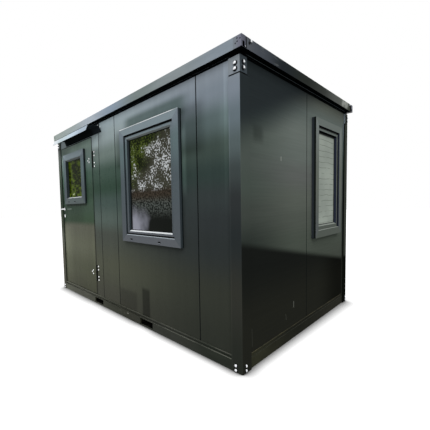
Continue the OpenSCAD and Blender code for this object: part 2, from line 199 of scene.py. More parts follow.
def coat(material, *names):
    """Gives CAD pieces this material."""
    for name in names:
        slots = nodes[name].material_slots
        for slot in slots:
            slot.link = "OBJECT"
            slot.material = material


def base_colour(tree, place):
    x, y, z = axes(tree, place)
    nx, _, nz = facing(tree)
    # The tones along the front and across the ends are painted reflection of the yard, and the ends
    # are painted darker as shade.
    along = by_length(tree, x, [
        (0.1, (100, 102, 91)), (0.8, (89, 90, 82)), (1.6, (66, 68, 60)),
        (1.8, (60, 61, 54)), (2.5, (59, 61, 56)), (3.1, (46, 50, 44))])
    side = by_depth(tree, y, [(0.2, (52, 53, 41)), (1.2, (36, 37, 32)), (2.2, (46, 46, 40))])
    reflected_tones = blend(tree, fade(tree, calc(tree, "ABSOLUTE", nx), 0.4, 0.8), along, side)
    cloudy = fade(tree, grain(tree, place, 0.06, (3, 3, 1)), 0.3, 0.7, 0.92, 1.08)
    patchy = scaled(tree, reflected_tones, cloudy)
    rubbed = fade(tree, grain(tree, place, 0.02, (2, 1, 1)), 0.5, 0.7)
    strapped = both(tree, area(tree, x, z, (0.00, 0.22, 0.03, 0.10), (0.06, 0.02)), rubbed)
    scuffed = blend(tree, both(tree, strapped, 0.15), patchy, tone(132, 132, 124))
    mark = scratch(tree, x, z, (0.150, 0.062), (0.165, 0.060), 0.006)
    scuffed = blend(tree, both(tree, mark, 0.7), scuffed, tone(180, 180, 172))
    # Up-facing ledges are painted lighter: a little dust, and a painted highlight where they catch
    # the sky.
    ledge = both(tree, fade(tree, nz, 0.6, 0.9), fade(tree, z, 0.05, 0.07))
    ledge_dust_and_highlight = both(tree, ledge, fade(tree, grain(tree, place, 0.05, (4, 4, 1)), 0.35, 0.6, 0.3, 1.0))
    # The skirt and lip tones are painted reflection: lighter on the middle of the front skirt,
    # darker on the end lips.
    in_front = fade(tree, y, -1.05, -1.07)
    middle = both(tree, between(tree, x, 0.7, 1.5, 0.4), in_front)
    skirt = blend(tree, middle, tone(58, 59, 52), tone(108, 110, 101))
    front_lip = blend(tree, fade(tree, x, 0.2, -1.2), tone(84, 85, 78), tone(104, 105, 94))
    lip = blend(tree, in_front, tone(84, 80, 62), front_lip)
    return blend(tree, ledge_dust_and_highlight, scuffed, blend(tree, fade(tree, z, 0.098, 0.102), skirt, lip))


base_coat = finish("base_coat", base_colour, (0.45, 0.65), shine=0.0)
coat(base_coat, "base_rail_front", "base_rail_back", "base_rail_left", "base_rail_right")

# Near black: painted shade inside the fork pockets and under the floor.
pocket_shade_paint = patches(0.03, 0.4, 0.7, (10, 11, 9), (30, 28, 24), (1, 4, 1))
pocket_shade_coat = finish("pocket_shade_coat", pocket_shade_paint, (0.6, 0.8), shine=0.0)
coat(pocket_shade_coat, "fork_pockets", "floor_bearers")


# ---- Wall panels ----
# Sandwich panels with a gloss-coated steel skin on both sides of a foam core, anthracite green
# outside and off-white inside. They meet in a V, which is sealed with a black bead. The outside
# holds a painted reflection of the yard in bands, with painted shade and painted highlights round
# the openings and under the hood.

# The rain hood juts out in front, so the walls stand a little behind the middle of the whole.
walls_middle = 0.08
room_half_length, room_half_width = 1.53, 1.10


def lined(tree, place, outside):
    """Off-white on faces that look into the room."""
    x, y, _ = axes(tree, place)
    along = calc(tree, "LESS_THAN", calc(tree, "ABSOLUTE", x), room_half_length)
    off = calc(tree, "ABSOLUTE", calc(tree, "SUBTRACT", y, walls_middle))
    across = calc(tree, "LESS_THAN", off, room_half_width)
    inside = mottle(tree, place, 0.4, 0.3, 0.7, (202, 203, 196), (210, 211, 204))
    return blend(tree, both(tree, along, across), outside, inside)


def by_height(tree, z, stops):
    """Colours up the cabin, by height above the ground."""
    cabin_height = 2.4
    return bands(tree, z, cabin_height, stops)


def lighter(tree, colour, share):
    """A colour made lighter by a share of itself."""
    return scaled(tree, colour, calc(tree, "ADD", 1.0, share))


def darker(tree, colour, share):
    """A colour made darker by a share of itself."""
    return scaled(tree, colour, calc(tree, "SUBTRACT", 1.0, share))


def front_colour(tree, place):
    """Gloss paint with a painted reflection of the yard in bands. Only the front has painted shade,
    painted highlights and two low dark patches of painted reflection by its openings.
    """
    x, y, z = axes(tree, place)
    # The tones up the wall, left and right, are a painted reflection of sky, trees and ground.
    left = by_height(tree, z, [
        (0.15, (68, 69, 60)), (0.55, (79, 82, 69)), (0.92, (73, 78, 71)), (1.12, (84, 97, 91)),
        (1.32, (69, 85, 80)), (1.50, (51, 72, 60)), (1.70, (66, 86, 76)), (1.92, (116, 131, 126)),
        (2.12, (157, 171, 173)), (2.27, (168, 184, 190))])
    right = by_height(tree, z, [
        (0.15, (47, 50, 44)), (0.55, (53, 56, 49)), (0.92, (47, 52, 52)), (1.12, (49, 54, 55)),
        (1.32, (54, 61, 61)), (1.50, (51, 64, 61)), (1.70, (64, 77, 72)), (1.92, (91, 106, 107)),
        (2.12, (129, 140, 150)), (2.27, (147, 157, 167))])
    reflected_tones = blend(tree, fade(tree, x, -0.25, 1.35), left, right)
    # Painted shade: a darker band over the window and beside it.
    over_window = area(tree, x, z, (0.30, 0.98, 2.06, 2.165), (0.18, 0.07))
    lit_and_shaded = blend(tree, both(tree, over_window, 0.78), reflected_tones, tone(72, 90, 86))
    beside_window = area(tree, x, z, (0.08, 1.20, 1.74, 2.05), (0.12, 0.10))
    lit_and_shaded = darker(tree, lit_and_shaded, both(tree, beside_window, 0.36))
    # Painted highlights: by the window's right-hand side, at the top of the hinge jamb and by the
    # post.
    highlight_by_frame = area(tree, x, z, (1.02, 1.045, 1.45, 1.85), (0.045, 0.15))
    lit_and_shaded = lighter(tree, lit_and_shaded, both(tree, highlight_by_frame, 0.9))
    jamb = area(tree, x, z, (-0.56, -0.375, 2.05, 2.15), (0.004, 0.08))
    lit_and_shaded = lighter(tree, lit_and_shaded, both(tree, jamb, 0.75))
    high_up = fade(tree, z, 1.4, 1.9)
    by_post = both(tree, fade(tree, x, 1.36, 1.49), high_up, fade(tree, z, 2.1, 1.95), 0.35)
    at_post = both(tree, between(tree, x, 1.462, 1.51, 0.012), fade(tree, z, 1.0, 1.6), 0.22)
    lit_and_shaded = lighter(tree, lit_and_shaded, calc(tree, "ADD", by_post, at_post))
    # Painted shade under the hood, and two dark upright patches of painted reflection low down.
    hood_shade = both(tree, fade(tree, x, -1.20, -1.36), fade(tree, z, 2.05, 2.12))
    narrow = area(tree, x, z, (0.43, 0.52, 0.10, 0.38), (0.03, 0.05))
    wide = area(tree, x, z, (0.02, 0.30, 0.10, 0.30), (0.04, 0.05))
    low = calc(tree, "ADD", both(tree, narrow, 0.55), both(tree, wide, 0.28))
    lit_and_shaded = darker(tree, lit_and_shaded, calc(tree, "ADD", both(tree, hood_shade, 0.6), low))
    return blend(tree, fade(tree, y, -1.02, -1.05), reflected_tones, lit_and_shaded)


def grooved(tree, colour):
    """Dark on the slopes of the V between two panels."""
    nx, ny, _ = facing(tree)
    square = calc(tree, "MAXIMUM", calc(tree, "ABSOLUTE", nx), calc(tree, "ABSOLUTE", ny))
    return blend(tree, fade(tree, square, 0.92, 0.80), colour, tone(14, 19, 19))


def door_gap(tree, place, colour):
    """Darker in the shade of the gap between the leaf and the hinge jamb."""
    x, y, z = axes(tree, place)
    gap = area(tree, x, z, (-0.560, -0.534, 0.125, 2.165), (0.004, 0.002))
    shade = both(tree, gap, fade(tree, y, -1.00, -1.03))
    return darker(tree, colour, both(tree, shade, 0.6))


def wall_colour(tree, place):
    streaks = fade(tree, grain(tree, place, 0.05, (1, 1, 14)), 0.3, 0.7, 0.97, 1.03)
    paint = door_gap(tree, place, scaled(tree, front_colour(tree, place), streaks))
    return lined(tree, place, grooved(tree, paint))


wall_coat = finish("wall_coat", wall_colour, (0.25, 0.4), relief=0.0002, shine=0.02)
coat(wall_coat, "front_narrow_panel", "front_window_panel", "front_corner_panel",
     "left_panel_near", "left_panel_far",
     "back_panel_left", "back_panel_middle", "back_panel_right")


def end_colour(tree, place):
    """The end wall's paint as a painted reflection of the yard, dark below the line where it
    mirrors the ground, with painted shade under the eaves and painted light by the near top corner.
    """
    _, y, z = axes(tree, place)
    # Painted reflection tones up the near and the middle part of the wall.
    near = by_height(tree, z, [
        (0.95, (48, 54, 50)), (1.2, (67, 73, 68)), (1.4, (73, 82, 76)), (1.6, (78, 86, 81)),
        (1.8, (78, 87, 81)), (2.0, (50, 62, 60)), (2.25, (40, 46, 51))])
    middle = by_height(tree, z, [
        (0.5, (68, 73, 66)), (0.9, (76, 83, 75)), (1.1, (83, 89, 82)), (1.3, (92, 98, 91)),
        (1.5, (96, 100, 97)), (1.7, (103, 111, 106)), (1.9, (107, 115, 110)), (2.1, (97, 106, 102)),
        (2.27, (92, 97, 90))])
    lit = blend(tree, fade(tree, y, -1.05, -0.1), near, middle)
    # Painted shade under the eaves, lighter by the near top corner.
    eaves = calc(tree, "SUBTRACT", z, both(tree, y, 0.38))
    corner = both(tree, fade(tree, z, 2.15, 2.24), fade(tree, y, -0.97, -0.99))
    shade = blend(tree, corner, tone(42, 48, 50), tone(68, 76, 82))
    shaded = blend(tree, fade(tree, eaves, 2.00, 2.34), lit, shade)
    # Below the skyline, a painted reflection of the dark ground, darker towards the far end.
    skyline = calc(tree, "ADD", z, both(tree, y, 0.183))
    ground = blend(tree, fade(tree, z, 0.3, 0.8), tone(36, 37, 32), tone(26, 28, 26))
    far = scaled(tree, ground, fade(tree, y, 0.3, 1.0, 1.0, 0.45))
    return blend(tree, fade(tree, skyline, 0.808, 0.738), shaded, far)


def end_wall_colour(tree, place):
    _, y, z = axes(tree, place)
    # Fine level lines: a painted reflection of a boarded wall.
    board_reflection = grain(tree, place, 0.014, (40, 40, 1))
    paint = scaled(tree, end_colour(tree, place), fade(tree, board_reflection, 0.35, 0.65, 0.965, 1.03))
    rubbed = area(tree, y, z, (-0.86, -0.79, 1.77, 1.81), (0.07, 0.07))
    paint = darker(tree, paint, both(tree, rubbed, 0.32))
    crease = scratch(tree, y, z, (-0.952, 0.93), (-0.950, 1.86), 0.006)
    paint = darker(tree, paint, both(tree, crease, 0.3))
    scuffs = (
        ((-0.4515, 1.615), (-0.4515, 1.650), 0.9), ((-0.205, 0.284), (-0.205, 0.341), 0.6),
        ((-0.355, 0.205), (-0.368, 0.262), 0.12), ((-0.93, 0.16), (-0.935, 0.30), 0.06))
    for first, last, strength in scuffs:
        mark = scratch(tree, y, z, first, last, 0.0032)
        paint = blend(tree, both(tree, mark, strength), paint, tone(196, 200, 190))
    return lined(tree, place, grooved(tree, paint))


end_coat = finish("end_coat", end_wall_colour, (0.3, 0.45), relief=0.0002, shine=0.0)
coat(end_coat, "right_panel_near", "right_window_panel")


def bar(shape, low, high, edge=0.0004):
    """A straight bar from one corner to the other with softened edges."""
    low, high = Vector(low), Vector(high)
    corners = bmesh.ops.create_cube(shape, size=1)["verts"]
    for corner in corners:
        corner.co = Vector([m + s * c for m, s, c in zip((low + high) / 2, high - low, corner.co)])
    edges = {line for corner in corners for line in corner.link_edges}
    bmesh.ops.bevel(shape, geom=list(edges), offset=edge, segments=2, affect="EDGES", profile=0.5)


def piece(name, shape, material):
    """Closes a mesh into a named piece, smooth except at its real edges."""
    bmesh.ops.recalc_face_normals(shape, faces=shape.faces[:])
    mesh = bpy.data.meshes.new(name)
    shape.to_mesh(mesh)
    shape.free()
    mesh.materials.append(material)
    mesh.polygons.foreach_set("use_smooth", [True] * len(mesh.polygons))
    mesh.set_sharp_from_angle(angle=math.radians(40))
    made = bpy.data.objects.new(name, mesh)
    bpy.context.scene.collection.objects.link(made)
    return made


black_rubber = patches(0.02, 0.4, 0.7, (6, 8, 8), (18, 20, 20))
rubber = finish("seal_rubber", black_rubber, (0.55, 0.75), skin=0.002, shine=0.05)

front_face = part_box("front_window_panel")[0].y
end_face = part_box("right_window_panel")[1].x
back_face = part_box("back_panel_middle")[1].y
wall_foot, wall_top = (corner.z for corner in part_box("front_window_panel"))
shape = bmesh.new()
bead, sunk, deep = 0.0028, 0.0024, 0.0055
for panel in ("front_narrow_panel", "front_window_panel", "front_corner_panel"):
    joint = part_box(panel)[0].x
    low = (joint - bead, front_face + sunk, wall_foot)
    bar(shape, low, (joint + bead, front_face + deep, wall_top))
for joint in (corner.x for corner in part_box("back_panel_middle")):
    low = (joint - bead, back_face - deep, wall_foot)
    bar(shape, low, (joint + bead, back_face - sunk, wall_top))
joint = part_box("right_window_panel")[0].y
for side in (-1, 1):
    low = (side * (end_face - deep), joint - bead, wall_foot)
    bar(shape, low, (side * (end_face - sunk), joint + bead, wall_top))
joint_beads = piece("joint_beads", shape, rubber)
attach(joint_beads, "cabin")


# ---- Corner posts and roof corners ----
# Folded angles of coated steel that wrap the wall panels at each corner. The roof's own corners
# sit over them with a shadow gap, and round-headed zinc bolts hold each one at its ends.

def post_colour(tree, place):
    """Each face takes the painted reflection tones of the wall beside it. Painted shade darkens the
    cut edges, the top and bottom faces, the shadow gap and the neck, and a painted highlight runs
    down the front edge.
    """
    x, y, z = axes(tree, place)
    nx, ny, nz = facing(tree)
    # Painted reflection tones up the front faces, from the walls beside them.
    right = by_height(tree, z, [
        (0.1, (43, 46, 41)), (0.6, (53, 54, 49)), (1.0, (43, 48, 49)), (1.3, (51, 55, 56)),
        (1.5, (65, 73, 73)), (1.7, (88, 100, 101)), (1.9, (106, 119, 126)), (2.1, (131, 141, 152)),
        (2.25, (143, 151, 157))])
    left = by_height(tree, z, [
        (0.1, (88, 88, 79)), (0.5, (96, 95, 84)), (0.8, (104, 106, 96)), (1.0, (76, 82, 70)),
        (1.2, (65, 75, 62)), (1.4, (62, 72, 62)), (1.6, (68, 81, 71)), (1.8, (86, 98, 85)),
        (2.0, (105, 113, 108)), (2.2, (80, 87, 83))])
    front = blend(tree, fade(tree, x, -0.5, 0.5), left, right)
    # A painted highlight down the front edge of the near post.
    edge = both(tree, between(tree, x, 1.504, 1.512, 0.004), fade(tree, z, 2.0, 1.8))
    front = lighter(tree, front, both(tree, edge, 0.22))
    # Painted light on the roof corners' end faces. The far back post is dark low down as painted
    # reflection of the ground, and on its far edge as painted shade.
    roof_corner = both(tree, fade(tree, z, 2.1750, 2.1755), fade(tree, y, 0.5, 0.4))
    end = blend(tree, roof_corner, end_colour(tree, place), tone(68, 76, 81))
    back_post = blend(tree, fade(tree, z, 0.60, 0.56), tone(58, 62, 56), tone(14, 16, 13))
    back_post = blend(tree, fade(tree, y, 1.160, 1.148), back_post, tone(14, 17, 13))
    end = blend(tree, fade(tree, y, 1.120, 1.125), end, back_post)
    wall = scaled(tree, front_colour(tree, place), 0.88)
    front = blend(tree, fade(tree, y, 0.4, 0.5), front, wall)
    end = blend(tree, fade(tree, x, 0.0, -0.5), end, wall)
    # Painted shade on the cut edges, the near edge of the back posts, the top and bottom faces, the
    # shadow gap and the neck above it.
    sideways = fade(tree, calc(tree, "ABSOLUTE", nx), 0.55, 0.85)
    outer = fade(tree, calc(tree, "ABSOLUTE", x), 1.592, 1.596)
    shaded_edges = both(tree, sideways, calc(tree, "SUBTRACT", 1.0, outer))
    sides = blend(tree, both(tree, sideways, outer), front, end)
    sides = blend(tree, shaded_edges, sides, tone(42, 48, 41))
    flat = fade(tree, calc(tree, "ABSOLUTE", nz), 0.5, 0.8)
    near_edge = both(tree, outer, between(tree, y, 1.126, 1.131, 0.001), fade(tree, ny, -0.5, -0.8))
    sides = blend(tree, near_edge, sides, tone(8, 10, 8))
    gap = both(tree, fade(tree, z, 2.1695, 2.1705), fade(tree, z, 2.1805, 2.1795))
    dark = calc(tree, "MAXIMUM", calc(tree, "MAXIMUM", flat, gap), fade(tree, z, 2.2950, 2.2960))
    return blend(tree, dark, sides, tone(6, 8, 9))


post_coat = finish("post_coat", post_colour, (0.35, 0.5), shine=0.0)
coat(post_coat, "post_front_left", "post_front_right", "post_back_left", "post_back_right",
     "roof_corners")


def lathe(shape, centre, way, outline, sides=20):
    """Turns an outline of (radius, height) points about a line that stands out of a face."""
    way = Vector(way)
    across = way.orthogonal().normalized()
    up = way.cross(across)
    rings = []
    for radius, height in outline:
        foot = Vector(centre) + way * height
        made = []
        for k in range(sides if radius else 1):
            turn = 2 * math.pi * k / sides
            out = across * math.cos(turn) + up * math.sin(turn)
            made.append(shape.verts.new(foot + radius * out))
        rings.append(made)
    for low, high in zip(rings, rings[1:]):
        for k in range(sides):
            a, b = k, k + 1
            loop = [low[a % len(low)], low[b % len(low)], high[b % len(high)], high[a % len(high)]]
            loop = list(dict.fromkeys(loop))
            if len(loop) > 2:
                shape.faces.new(loop)


def dome(radius, height, seat=-0.001, steps=6):
    """Outline of a round head with a flat seat and a low upright rim."""
    turns = [math.pi / 2 * k / steps for k in range(steps)]
    arc = [(radius * math.cos(turn), height * (0.15 + 0.85 * math.sin(turn))) for turn in turns]
    return [(0, seat), (radius, seat)] + arc + [(0, height)]


def zinc_colour(tree, place):
    """Bright zinc, with painted shade on the side of each head that faces the ground or the corner.
    """
    x = axes(tree, place)[0]
    nx, ny, nz = facing(tree)
    bright = mottle(tree, place, 0.004, 0.4, 0.6, (226, 230, 234), (246, 248, 250))
    front = fade(tree, calc(tree, "ABSOLUTE", x), 1.5985, 1.5975)
    corner = calc(tree, "ADD", both(tree, front, fade(tree, both(tree, nx, x), 0.55, 1.25)),
                  both(tree, calc(tree, "SUBTRACT", 1.0, front), fade(tree, ny, -0.35, -0.65)))
    head_shade = calc(tree, "MAXIMUM", fade(tree, nz, -0.15, -0.6), corner)
    return blend(tree, head_shade, bright, tone(30, 33, 36))


bolt_zinc = finish(
    "bolt_zinc", zinc_colour, (0.3, 0.45), skin=0.001, relief=0.0001, shine=0.5, metal=1.0)

post_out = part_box("post_front_right")[1].x
post_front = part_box("post_front_right")[0].y
post_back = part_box("post_back_right")[1].y
bolts, washers = bmesh.new(), bmesh.new()
washer_t, seat = 0.0016, -0.001
head_r, head_h, washer_r = 0.0158, 0.0130, 0.0178
foot_r, foot_h, foot_washer_r = 0.0125, 0.0090, 0.0140


def bolt(spot, way, radius, height, pad):
    """A round-headed bolt on a rubber washer, whose black ring also stands for the shade round the
    head.
    """
    seated = [place + step * washer_t for place, step in zip(spot, way)]
    lathe(bolts, seated, way, dome(radius, height))
    lathe(washers, spot, way, [(0, seat), (pad, seat), (pad, washer_t), (0, washer_t)])


# Each row: head and washer, then where it sits on the front (in, down) and on the side (back, up).
top_row = ((head_r, head_h, washer_r), (0.036, 0.0), (0.040, 0.004))
foot_row = ((foot_r, foot_h, foot_washer_r), (0.056, 0.006), (0.041, 0.0))
for side in (-1, 1):
    for face, way in ((post_front, -1), (post_back, 1)):
        for z, row in ((2.246, top_row), (2.207, top_row), (0.058, foot_row), (0.022, foot_row)):
            head, (inwards, down), (back, up) = row
            bolt((side * (post_out - inwards), face, z - down), (0, way, 0), *head)
            bolt((side * post_out, face - way * back, z + up), (side, 0, 0), *head)
corner_bolts = piece("corner_bolts", bolts, bolt_zinc)
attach(corner_bolts, "cabin")
corner_washers = piece("corner_washers", washers, rubber)
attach(corner_washers, "cabin")

# Black rubber strips fill the shadow gap between the posts and the roof's corners, set in as
# painted shade for the gap.
shape = bmesh.new()
gap_low, gap_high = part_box("post_front_right")[1].z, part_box("roof_corners")[0].z
inset, reach_x, reach_y, proud, seal_edge = 0.002, 0.090, 0.092, 0.0005, 0.0002
for side in (-1, 1):
    outer = side * (post_out - inset)
    for face, wall, way in ((post_front, front_face, -1), (post_back, back_face, 1)):
        for inner, ends in (
                (side * (post_out - reach_x), (face - way * inset, wall + way * proud)),
                (side * (end_face + proud), (wall - way * 0.001, face - way * reach_y))):
            across, ends = sorted((inner, outer)), sorted(ends)
            bar(shape, (across[0], ends[0], gap_low), (across[1], ends[1], gap_high), seal_edge)
corner_gap_shade_strips = piece("corner_gap_shade_strips", shape, rubber)
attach(corner_gap_shade_strips, "cabin")


# ---- Roof ----
# Hollow roof rails with a smooth face all round, a neck under them painted black as shade, capped
# ends with a drip slot, an insulated panel that makes the ceiling, and a ribbed sheet on top that
# sheds the rain. The rails' tones are painted reflection, lighter on top as painted light.

def shadowed(tree, place, face):
    """Painted shade: black below, behind and inside the rails, with a lighter line along the wall
    under the end rails.
    """
    x, y, z = axes(tree, place)
    nz = facing(tree)[2]
    out_x = calc(tree, "ABSOLUTE", x)
    out_y = calc(tree, "ABSOLUTE", calc(tree, "SUBTRACT", y, walls_middle))
    height = between(tree, z, 2.3212, 2.3988, 0.0004)
    long_hollow = both(tree, height, between(tree, out_y, 1.1415, 1.2058, 0.0004))
    across = both(tree, height, between(tree, out_x, 1.5732, 1.6358, 0.0004))
    short_hollow = both(tree, across, fade(tree, out_y, 1.1428, 1.1424))
    below = calc(tree, "MAXIMUM", fade(tree, nz, -0.4, -0.8), fade(tree, z, 2.3198, 2.3188))
    dark = calc(tree, "MAXIMUM", calc(tree, "MAXIMUM", long_hollow, short_hollow), below)
    along_wall = both(tree, between(tree, out_x, 1.5915, 1.5965, 0.001), fade(tree, nz, -0.6, -0.9))
    seam = both(tree, along_wall, fade(tree, out_y, 1.10, 1.05))
    return blend(tree, dark, face, blend(tree, seam, tone(5, 9, 10), tone(84, 92, 95)))


def front_rail_colour(tree, place):
    x = axes(tree, place)[0]
    nx, _, nz = facing(tree)
    # Tones along the face are a painted reflection. Top faces are painted lighter as painted light,
    # and end faces darker as painted shade.
    face = by_length(tree, x, [
        (0.1, (160, 172, 168)), (0.7, (160, 171, 171)), (1.22, (176, 186, 196)),
        (1.7, (142, 157, 173)), (2.2, (126, 138, 137)), (2.7, (142, 151, 154)),
        (3.2, (139, 150, 160))])
    brushed = fade(tree, grain(tree, place, 0.03, (8, 1, 1)), 0.3, 0.7, 0.95, 1.05)
    top = blend(tree, fade(tree, nz, 0.4, 0.8), scaled(tree, face, brushed), tone(150, 156, 154))
    end = blend(tree, fade(tree, calc(tree, "ABSOLUTE", nx), 0.5, 0.8), top, tone(92, 96, 108))
    return shadowed(tree, place, end)


def end_rail_colour(tree, place):
    y = axes(tree, place)[1]
    nz = facing(tree)[2]
    # Tones across the face are a painted reflection, with pale patches of painted sky near the far
    # end. Top faces are painted lighter as painted light.
    face = by_depth(tree, y, [
        (0.24, (88, 92, 98)), (0.42, (74, 79, 86)), (0.78, (39, 44, 47)), (1.2, (44, 48, 45)),
        (1.6, (57, 60, 57)), (2.0, (87, 90, 87)), (2.36, (100, 104, 96)), (2.44, (66, 70, 62))])
    strokes = both(tree, fade(tree, grain(tree, place, 0.022, (1, 6, 1)), 0.52, 0.70),
                   between(tree, y, -0.95, -0.62, 0.16))
    face = blend(tree, both(tree, strokes, 0.45), face, tone(104, 108, 108))
    joint = between(tree, y, 1.196, 1.230, 0.002)
    patchy = fade(tree, grain(tree, place, 0.06, (1, 2, 1)), 0.35, 0.6)
    sky = both(tree, between(tree, y, 0.93, 1.10, 0.05), patchy)
    face = blend(tree, both(tree, sky, 0.6), face, tone(176, 180, 174))
    face = blend(tree, joint, face, tone(12, 14, 12))
    top = blend(tree, fade(tree, nz, 0.4, 0.8), face, tone(150, 156, 154))
    return shadowed(tree, place, top)


front_rail_coat = finish("front_rail_coat", front_rail_colour, (0.25, 0.4), shine=0.02)
coat(front_rail_coat, "roof_rail_front", "roof_rail_back")
end_rail_coat = finish("end_rail_coat", end_rail_colour, (0.35, 0.5), shine=0.0)
coat(end_rail_coat, "roof_rail_left", "roof_rail_right")

cap_paint = patches(0.02, 0.35, 0.7, (78, 80, 92), (98, 101, 114))
cap_coat = finish("cap_coat", cap_paint, (0.35, 0.5), shine=0.05)

rail_low, rail_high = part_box("roof_rail_front")
back_rail_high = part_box("roof_rail_back")[1]
eave, ridge = rail_high.z - 0.080, rail_high.z


def plate(shape, outline, way, thick):
    """A flat plate cut to an outline of points, thickened outwards."""
    low = [shape.verts.new(p) for p in outline]
    high = [shape.verts.new(Vector(p) + Vector(way) * thick) for p in outline]
    shape.faces.new(low)
    shape.faces.new(high)
    for k in range(len(low)):
        shape.faces.new((low[k], low[k - 1], high[k - 1], high[k]))


shape = bmesh.new()
cap_t, cap_back, cap_foot, cap_top = 0.0016, 0.0500, 0.0005, 0.0795
slot_near, slot_far, slot_top = 0.0110, 0.0385, 0.038
cap_outline = (
    (0, cap_foot), (slot_near, cap_foot), (slot_near, slot_top), (slot_far, slot_top),
    (slot_far, cap_foot), (cap_back, cap_foot), (cap_back, cap_top), (0, cap_top))
for side in (-1, 1):
    for face, way in ((rail_low.y, 1), (back_rail_high.y, -1)):
        outline = [(side * rail_high.x, face + way * back, eave + up) for back, up in cap_outline]
        plate(shape, outline, (side, 0, 0), cap_t)
rail_caps = piece("rail_caps", shape, cap_coat)
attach(rail_caps, "cabin")


def plate_colour(tree, place):
    x = axes(tree, place)[0]
    # Painted reflection: the plates at the left-hand end are paler than those at the right.
    rail = fade(tree, calc(tree, "ABSOLUTE", x), 1.580, 1.625)
    brushed = fade(tree, grain(tree, place, 0.03, (4, 1, 1)), 0.3, 0.7, 0.95, 1.05)
    right = blend(tree, rail, tone(126, 134, 142), tone(118, 120, 134))
    return scaled(tree, blend(tree, fade(tree, x, 0.1, -0.1), right, tone(156, 168, 162)), brushed)


plate_coat = finish("plate_coat", plate_colour, (0.3, 0.45), shine=0.05)
shape, plugs = bmesh.new(), bmesh.new()
plate_in, plate_out, plate_gap, plate_t = 1.573, 1.6365, 0.001, 0.0012
screw_spots = ((1.605, 2.382), (1.628, 2.373), (1.606, 2.360), (1.591, 2.353))
screw = [(0, -0.0005), (0.0050, -0.0005), (0.0050, 0.0005), (0.0035, 0.0009), (0, 0.0007)]
plug = [(0, -0.0005), (0.0110, -0.0005), (0.0110, 0.0006), (0, 0.0006)]
plug_back, plug_z = 0.098, 2.366
for side in (-1, 1):
    for face, way in ((rail_low.y, -1), (back_rail_high.y, 1)):
        low, high = sorted((side * plate_in, side * plate_out))
        foot, top = eave + plate_gap, ridge - plate_gap
        outline = [(low, face, foot), (high, face, foot), (high, face, top), (low, face, top)]
        plate(shape, outline, (0, way, 0), plate_t)
        for across, z in screw_spots:
            lathe(plugs, (side * across, face + way * 0.0010, z), (0, way, 0), screw, 14)
        lathe(plugs, (side * rail_high.x, face - way * plug_back, plug_z), (side, 0, 0), plug, 18)
corner_plates = piece("roof_corner_plates", shape, plate_coat)
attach(corner_plates, "cabin")
plate_screws = piece("plate_screws", plugs, rubber)
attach(plate_screws, "cabin")

shape = bmesh.new()
lift_back, lift_z, lift_head = 0.117, 2.3850, dome(0.0145, 0.0095)
rivet_back, rivet_z, rivet_head = 0.043, 2.3265, dome(0.0055, 0.0050)
for side in (-1, 1):
    for face, way in ((rail_low.y, 1), (back_rail_high.y, -1)):
        spot = (side * rail_high.x, face + way * lift_back, lift_z)
        lathe(shape, spot, (side, 0, 0), lift_head)
        spot = (side * (rail_high.x + 0.001), face + way * rivet_back, rivet_z)
        lathe(shape, spot, (side, 0, 0), rivet_head, 12)
lifting_bolts = piece("lifting_bolts", shape, bolt_zinc)
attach(lifting_bolts, "cabin")

ceiling_paint = patches(0.3, 0.3, 0.7, (214, 214, 208), (224, 224, 220))
coat(finish("ceiling_coat", ceiling_paint, (0.4, 0.5)), "roof_panel")

sheet_zinc = patches(0.08, 0.35, 0.7, (88, 94, 94), (112, 116, 112), (1, 6, 1))
coat(finish("sheet_coat", sheet_zinc, (0.45, 0.6)), "roof_sheet")

shape = bmesh.new()
sheet_low, sheet_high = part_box("roof_sheet")
rows, columns, margin, valley = 4, 9, 0.06, 0.0065
sheet_screw = [
    (0, -0.001), (0.008, -0.001), (0.0085, 0.001), (0.0045, 0.0022), (0.0042, 0.0058), (0, 0.0062)]
for row in range(rows):
    for column in range(columns):
        x = sheet_low.x + (sheet_high.x - sheet_low.x) * (column + 0.5) / columns + margin
        y = sheet_low.y + margin + (sheet_high.y - sheet_low.y - 2 * margin) * row / (rows - 1)
        lathe(shape, (x, y, sheet_high.z - valley), (0, 0, 1), sheet_screw, 12)
sheet_screws = piece("sheet_screws", shape, bolt_zinc)
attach(sheet_screws, "cabin")


# ---- Floor ----
# Film-faced plywood sheets laid on the bearers and screwed down. The brown film has a fine
# non-slip print.

deck_print = patches(0.02, 0.35, 0.7, (84, 66, 50), (112, 90, 68), (6, 1, 1))
coat(finish("deck_film", deck_print, (0.5, 0.65)), "floor_deck")


# ---- Door frame ----
# Steel jambs and head in the wall colour with a stop and a black seal behind the leaf, and a
# ribbed aluminium threshold screwed to the floor.

coat(wall_coat, "door_jamb_lock", "door_jamb_hinge", "door_head")

worn_sill = patches(0.01, 0.3, 0.7, (150, 150, 148), (178, 178, 176), (20, 1, 1))
coat(finish("sill_metal", worn_sill, (0.35, 0.5), metal=0.8, shine=0.5), "door_sill")

leaf_low, leaf_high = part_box("door_leaf")
hinge_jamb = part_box("door_head")[1].x
lock_jamb = leaf_low.x - 0.008
shape = bmesh.new()
seal_front, seal_back, slack = leaf_low.y + 0.004, leaf_low.y + 0.044, 0.0004
gap, side_foot, side_top = 0.010, 0.008, 0.009
foot, top = leaf_low.z - side_foot, leaf_high.z + side_top
for low, high in (
        ((lock_jamb + slack, foot), (leaf_low.x - slack, top)),
        ((leaf_high.x + slack, foot), (hinge_jamb - slack, top)),
        ((leaf_low.x, leaf_high.z + slack), (leaf_high.x, leaf_high.z + gap - slack)),
        ((leaf_low.x, leaf_low.z - gap + slack), (leaf_high.x, leaf_low.z - slack))):
    bar(shape, (low[0], seal_front, low[1]), (high[0], seal_back, high[1]))
door_seal = piece("door_seal", shape, rubber)
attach(door_seal, "cabin")


# ---- Windows ----
# Welded plastic frames foiled in anthracite, mitred at the corners, with an opening sash, black
# seals, sloped glazing beads, drain caps and double glazing. The foil holds painted reflection
# tones, with painted shade on its sides and undersides and painted highlights on its ledges, and
# the glass holds a painted reflection of the yard.

